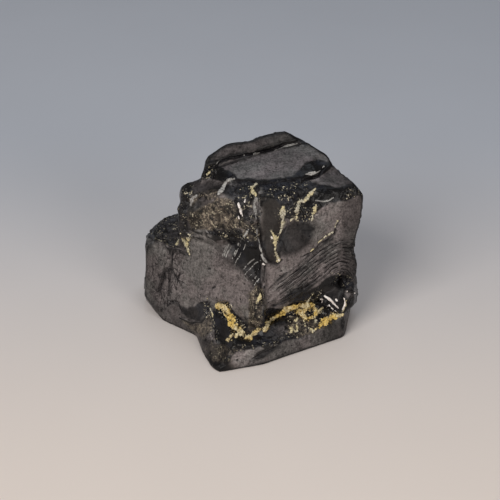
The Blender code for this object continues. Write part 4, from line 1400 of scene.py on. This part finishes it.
def film(name, lines, thickness, core, knob, ragged, material):
    """Raise a film along lines: height = thickness x (nearness + knobs + noise), plus small knobs.

    `core` is the share of the nearness and what is added to it, `knob` is the pitch and the share of
    the rounded bumps, and `ragged` is the share of the noise that makes it wide here, narrow there.
    """
    patch = near_faces(skin, near_lines(points, lines))
    patch = with_modifier(patch, name, "SUBSURF", subdivision_type="SIMPLE", levels=FILM_SPLITS,
                          render_levels=FILM_SPLITS)
    spots, outward = read_rows(patch, "co"), read_rows(patch, "normal")
    bent = wandered(spots, FILM_BEND, FILM_BEND_PITCH, FILM_BEND_SEEDS)
    inside = core[0] * best_nearness(bent, lines) + core[1]
    pitch, share = knob
    bumpy = wandered(spots, KNOB_BEND * pitch)
    big, small = (knobs(bumpy, size * pitch, seed) for size, seed in zip((1.0, SMALL_KNOB), KNOB_SEEDS))
    body = inside + share * (big - KNOB_LEVEL) + ragged * layered(spots, FILM_NOISE)
    body = np.clip(body, *FILM_RANGE)
    bumps = SMALL_KNOB * share * (small - KNOB_LEVEL) * ramp(body, *SMALL_KNOB_SPAN)
    write_places(patch, spots + (thickness * (body + bumps))[:, None] * outward)
    mark(patch, body=np.clip(body, 0.0, 1.0),
         top=np.clip(big + SMALL_KNOB_LIGHT * small, 0.0, 1.0))
    patch.shade_smooth()
    print(name, "has", len(patch.polygons), "faces")
    return make_piece(name, patch, material)


# %% [markdown]
# ### The films' finishes
#
# Ochre is iron and sulphur bloom: dull, powdery, golden in some patches, pale in others, and
# orange-brown in its hollows, where shade between the knobs is painted in. The cream veins are quartz
# and clay: paler, a little shinier, and stained where they thin out. The powder is grey and matt, and
# the painted glints are white and glossy, standing for highlights. One recipe with four sets of colours
# makes all of them.

# %% Ochre, cream, painted glints and powder
def mineral_finish(name, pale, rich, low, edge, rough):
    """A grown mineral: pale and rich patches, painted shade between its knobs, and darker at its thin edge.
    """
    bench = Bench(name)
    clouds, lumps = bench.noise(3.5, detail=3.0), bench.noise(0.5, detail=3.0, rough=0.6)
    grain = bench.noise(0.2, detail=2.0, rough=0.7)
    colour = bench.tint(clouds.step(0.38, 0.60), pale, rich)
    # painted shade in the hollows between the knobs
    colour = bench.tint(bench.mask("top").step(0.62, 0.20) * 0.85, colour, low)
    colour = bench.tint(lumps.step(0.50, 0.38) * 0.7, colour, low)
    colour = bench.tint(bench.mask("body").step(0.22, 0.02) * 0.8, colour, edge)
    colour = bench.shade(colour, 0.65 + grain * 0.7)
    tilt = bench.bump(grain, 0.06, 0.5)
    tilt = bench.bump(lumps, 0.22, 0.7, under=tilt)
    return bench.finish(Base_Color=colour, Roughness=rough + grain * 0.25, Normal=tilt)


OCHRE = mineral_finish("ochre_crust", pale=(0.68, 0.59, 0.37, 1.0), rich=(0.72, 0.51, 0.14, 1.0),
                       low=(0.24, 0.155, 0.04, 1.0), edge=(0.05, 0.035, 0.02, 1.0), rough=0.65)
CREAM = mineral_finish("pale_vein", pale=(0.52, 0.48, 0.37, 1.0), rich=(0.62, 0.53, 0.30, 1.0),
                       low=(0.11, 0.09, 0.05, 1.0), edge=(0.03, 0.025, 0.02, 1.0), rough=0.38)
# painted highlights: white glints on ridges, the lens and the knob
GLINT_WHITE = mineral_finish("painted_glint", pale=(0.90, 0.86, 0.82, 1.0), rich=(0.90, 0.82, 0.76, 1.0),
                        low=(0.60, 0.52, 0.46, 1.0), edge=(0.20, 0.16, 0.14, 1.0), rough=0.15)
POWDER = mineral_finish("white_powder", pale=(0.40, 0.39, 0.37, 1.0), rich=(0.20, 0.19, 0.18, 1.0),
                        low=(0.12, 0.11, 0.10, 1.0), edge=(0.05, 0.045, 0.04, 1.0), rough=0.55)
print("four minerals, with", len(OCHRE.node_tree.nodes), "nodes each")

# %% The four films
film("ochre_crust", CRUST, thickness=0.75, core=(0.75, 0.02), knob=(0.85, 1.55), ragged=0.60,
     material=OCHRE)
film("cream_veins", VEINS, thickness=0.30, core=(0.8, 0.0), knob=(0.55, 0.90), ragged=0.60,
     material=CREAM)
film("white_powder", POWDER_LINES, thickness=0.08, core=(1.0, -0.08), knob=(0.5, 0.6), ragged=0.7,
     material=POWDER)
# painted highlights, as white slivers and beads
film("painted_glints_and_beads", PAINTED_GLINTS_AND_BEADS, thickness=0.45, core=(1.0, 0.20), knob=(0.8, 0.12), ragged=0.12,
     material=GLINT_WHITE)

# %% [markdown]
# ## Table and light
#
# The stone stands on a plain pale table. The light is soft: two warm panels on the camera's side,
# a strong one at the left and a weaker one at the right, bring out the satin like windows, and a cool
# one overhead gives the top its steel colour. The table's colour holds painted light: it goes from warm
# and lighter near the camera to cool and darker far away, as it does where daylight falls on its far part.

# %% Table
TABLE_SIZE = 3.0
# painted light and shade: the table's colour near the camera and far from it
NEAR_TABLE_PAINTED_LIGHT, FAR_TABLE_PAINTED_SHADE = (0.75, 0.665, 0.60, 1.0), (0.47, 0.49, 0.535, 1.0)
WARM_UP_TO, COOL_FROM = -90.0, 120.0     # how far back the table is still warm, and is all cool


def table_finish():
    """Pale matt table with painted light: warm and lighter near, cool and darker far, a breath of
    unevenness.
    """
    bench = Bench("table")
    far = bench.node("SeparateXYZ", {}, {0: bench.place}, output="Y")
    colour = bench.tint(far.step(WARM_UP_TO, COOL_FROM), NEAR_TABLE_PAINTED_LIGHT, FAR_TABLE_PAINTED_SHADE)
    cloud = bench.noise(60.0)
    return bench.finish(Base_Color=bench.shade(colour, 0.97 + cloud * 0.06), Roughness=0.45)


table_mesh = bpy.data.meshes.new("table")
half = TABLE_SIZE / 2
table_mesh.from_pydata([(-half, -half, 0.0), (half, -half, 0.0), (half, half, 0.0),
                        (-half, half, 0.0)], [], [(0, 1, 2, 3)])
table_mesh.materials.append(table_finish())
table = bpy.data.objects.new("table", table_mesh)
bpy.context.scene.collection.objects.link(table)
print("table", TABLE_SIZE, "m wide")


# %% Lights
PANELS = {                               # place and size in metres, power in watts, colour
    "front_window": ((-0.46, -0.52, 0.60), 0.50, 5.9, (1.0, 0.965, 0.925)),
    "side_window": ((0.50, -0.55, 0.30), 0.40, 2.3, (1.0, 0.955, 0.915)),
    "sky": ((0.10, 0.25, 0.90), 0.60, 2.0, (0.86, 0.92, 1.0)),
}
LIGHT_AIM = (0.0, 0.0, 0.02)
ROOM_COLOUR, ROOM_STRENGTH = (0.88, 0.92, 1.0, 1.0), 0.12


def panel(name, place, size, power, colour):
    """A square soft light, turned towards the stone."""
    light = bpy.data.lights.new(name, "AREA")
    light.size, light.energy, light.color = size, power, colour
    lamp = bpy.data.objects.new(name, light)
    lamp.location = place
    lamp.rotation_euler = (Vector(LIGHT_AIM) - Vector(place)).to_track_quat("-Z", "Y").to_euler()
    bpy.context.scene.collection.objects.link(lamp)


for name, settings in PANELS.items():
    panel(name, *settings)
world = bpy.data.worlds.new("room")
world.use_nodes = True
world.node_tree.nodes["Background"].inputs["Color"].default_value = ROOM_COLOUR
world.node_tree.nodes["Background"].inputs["Strength"].default_value = ROOM_STRENGTH
bpy.context.scene.world = world
bpy.context.scene.view_settings.view_transform = "Standard"
print(len(PANELS), "panels and a dim room")
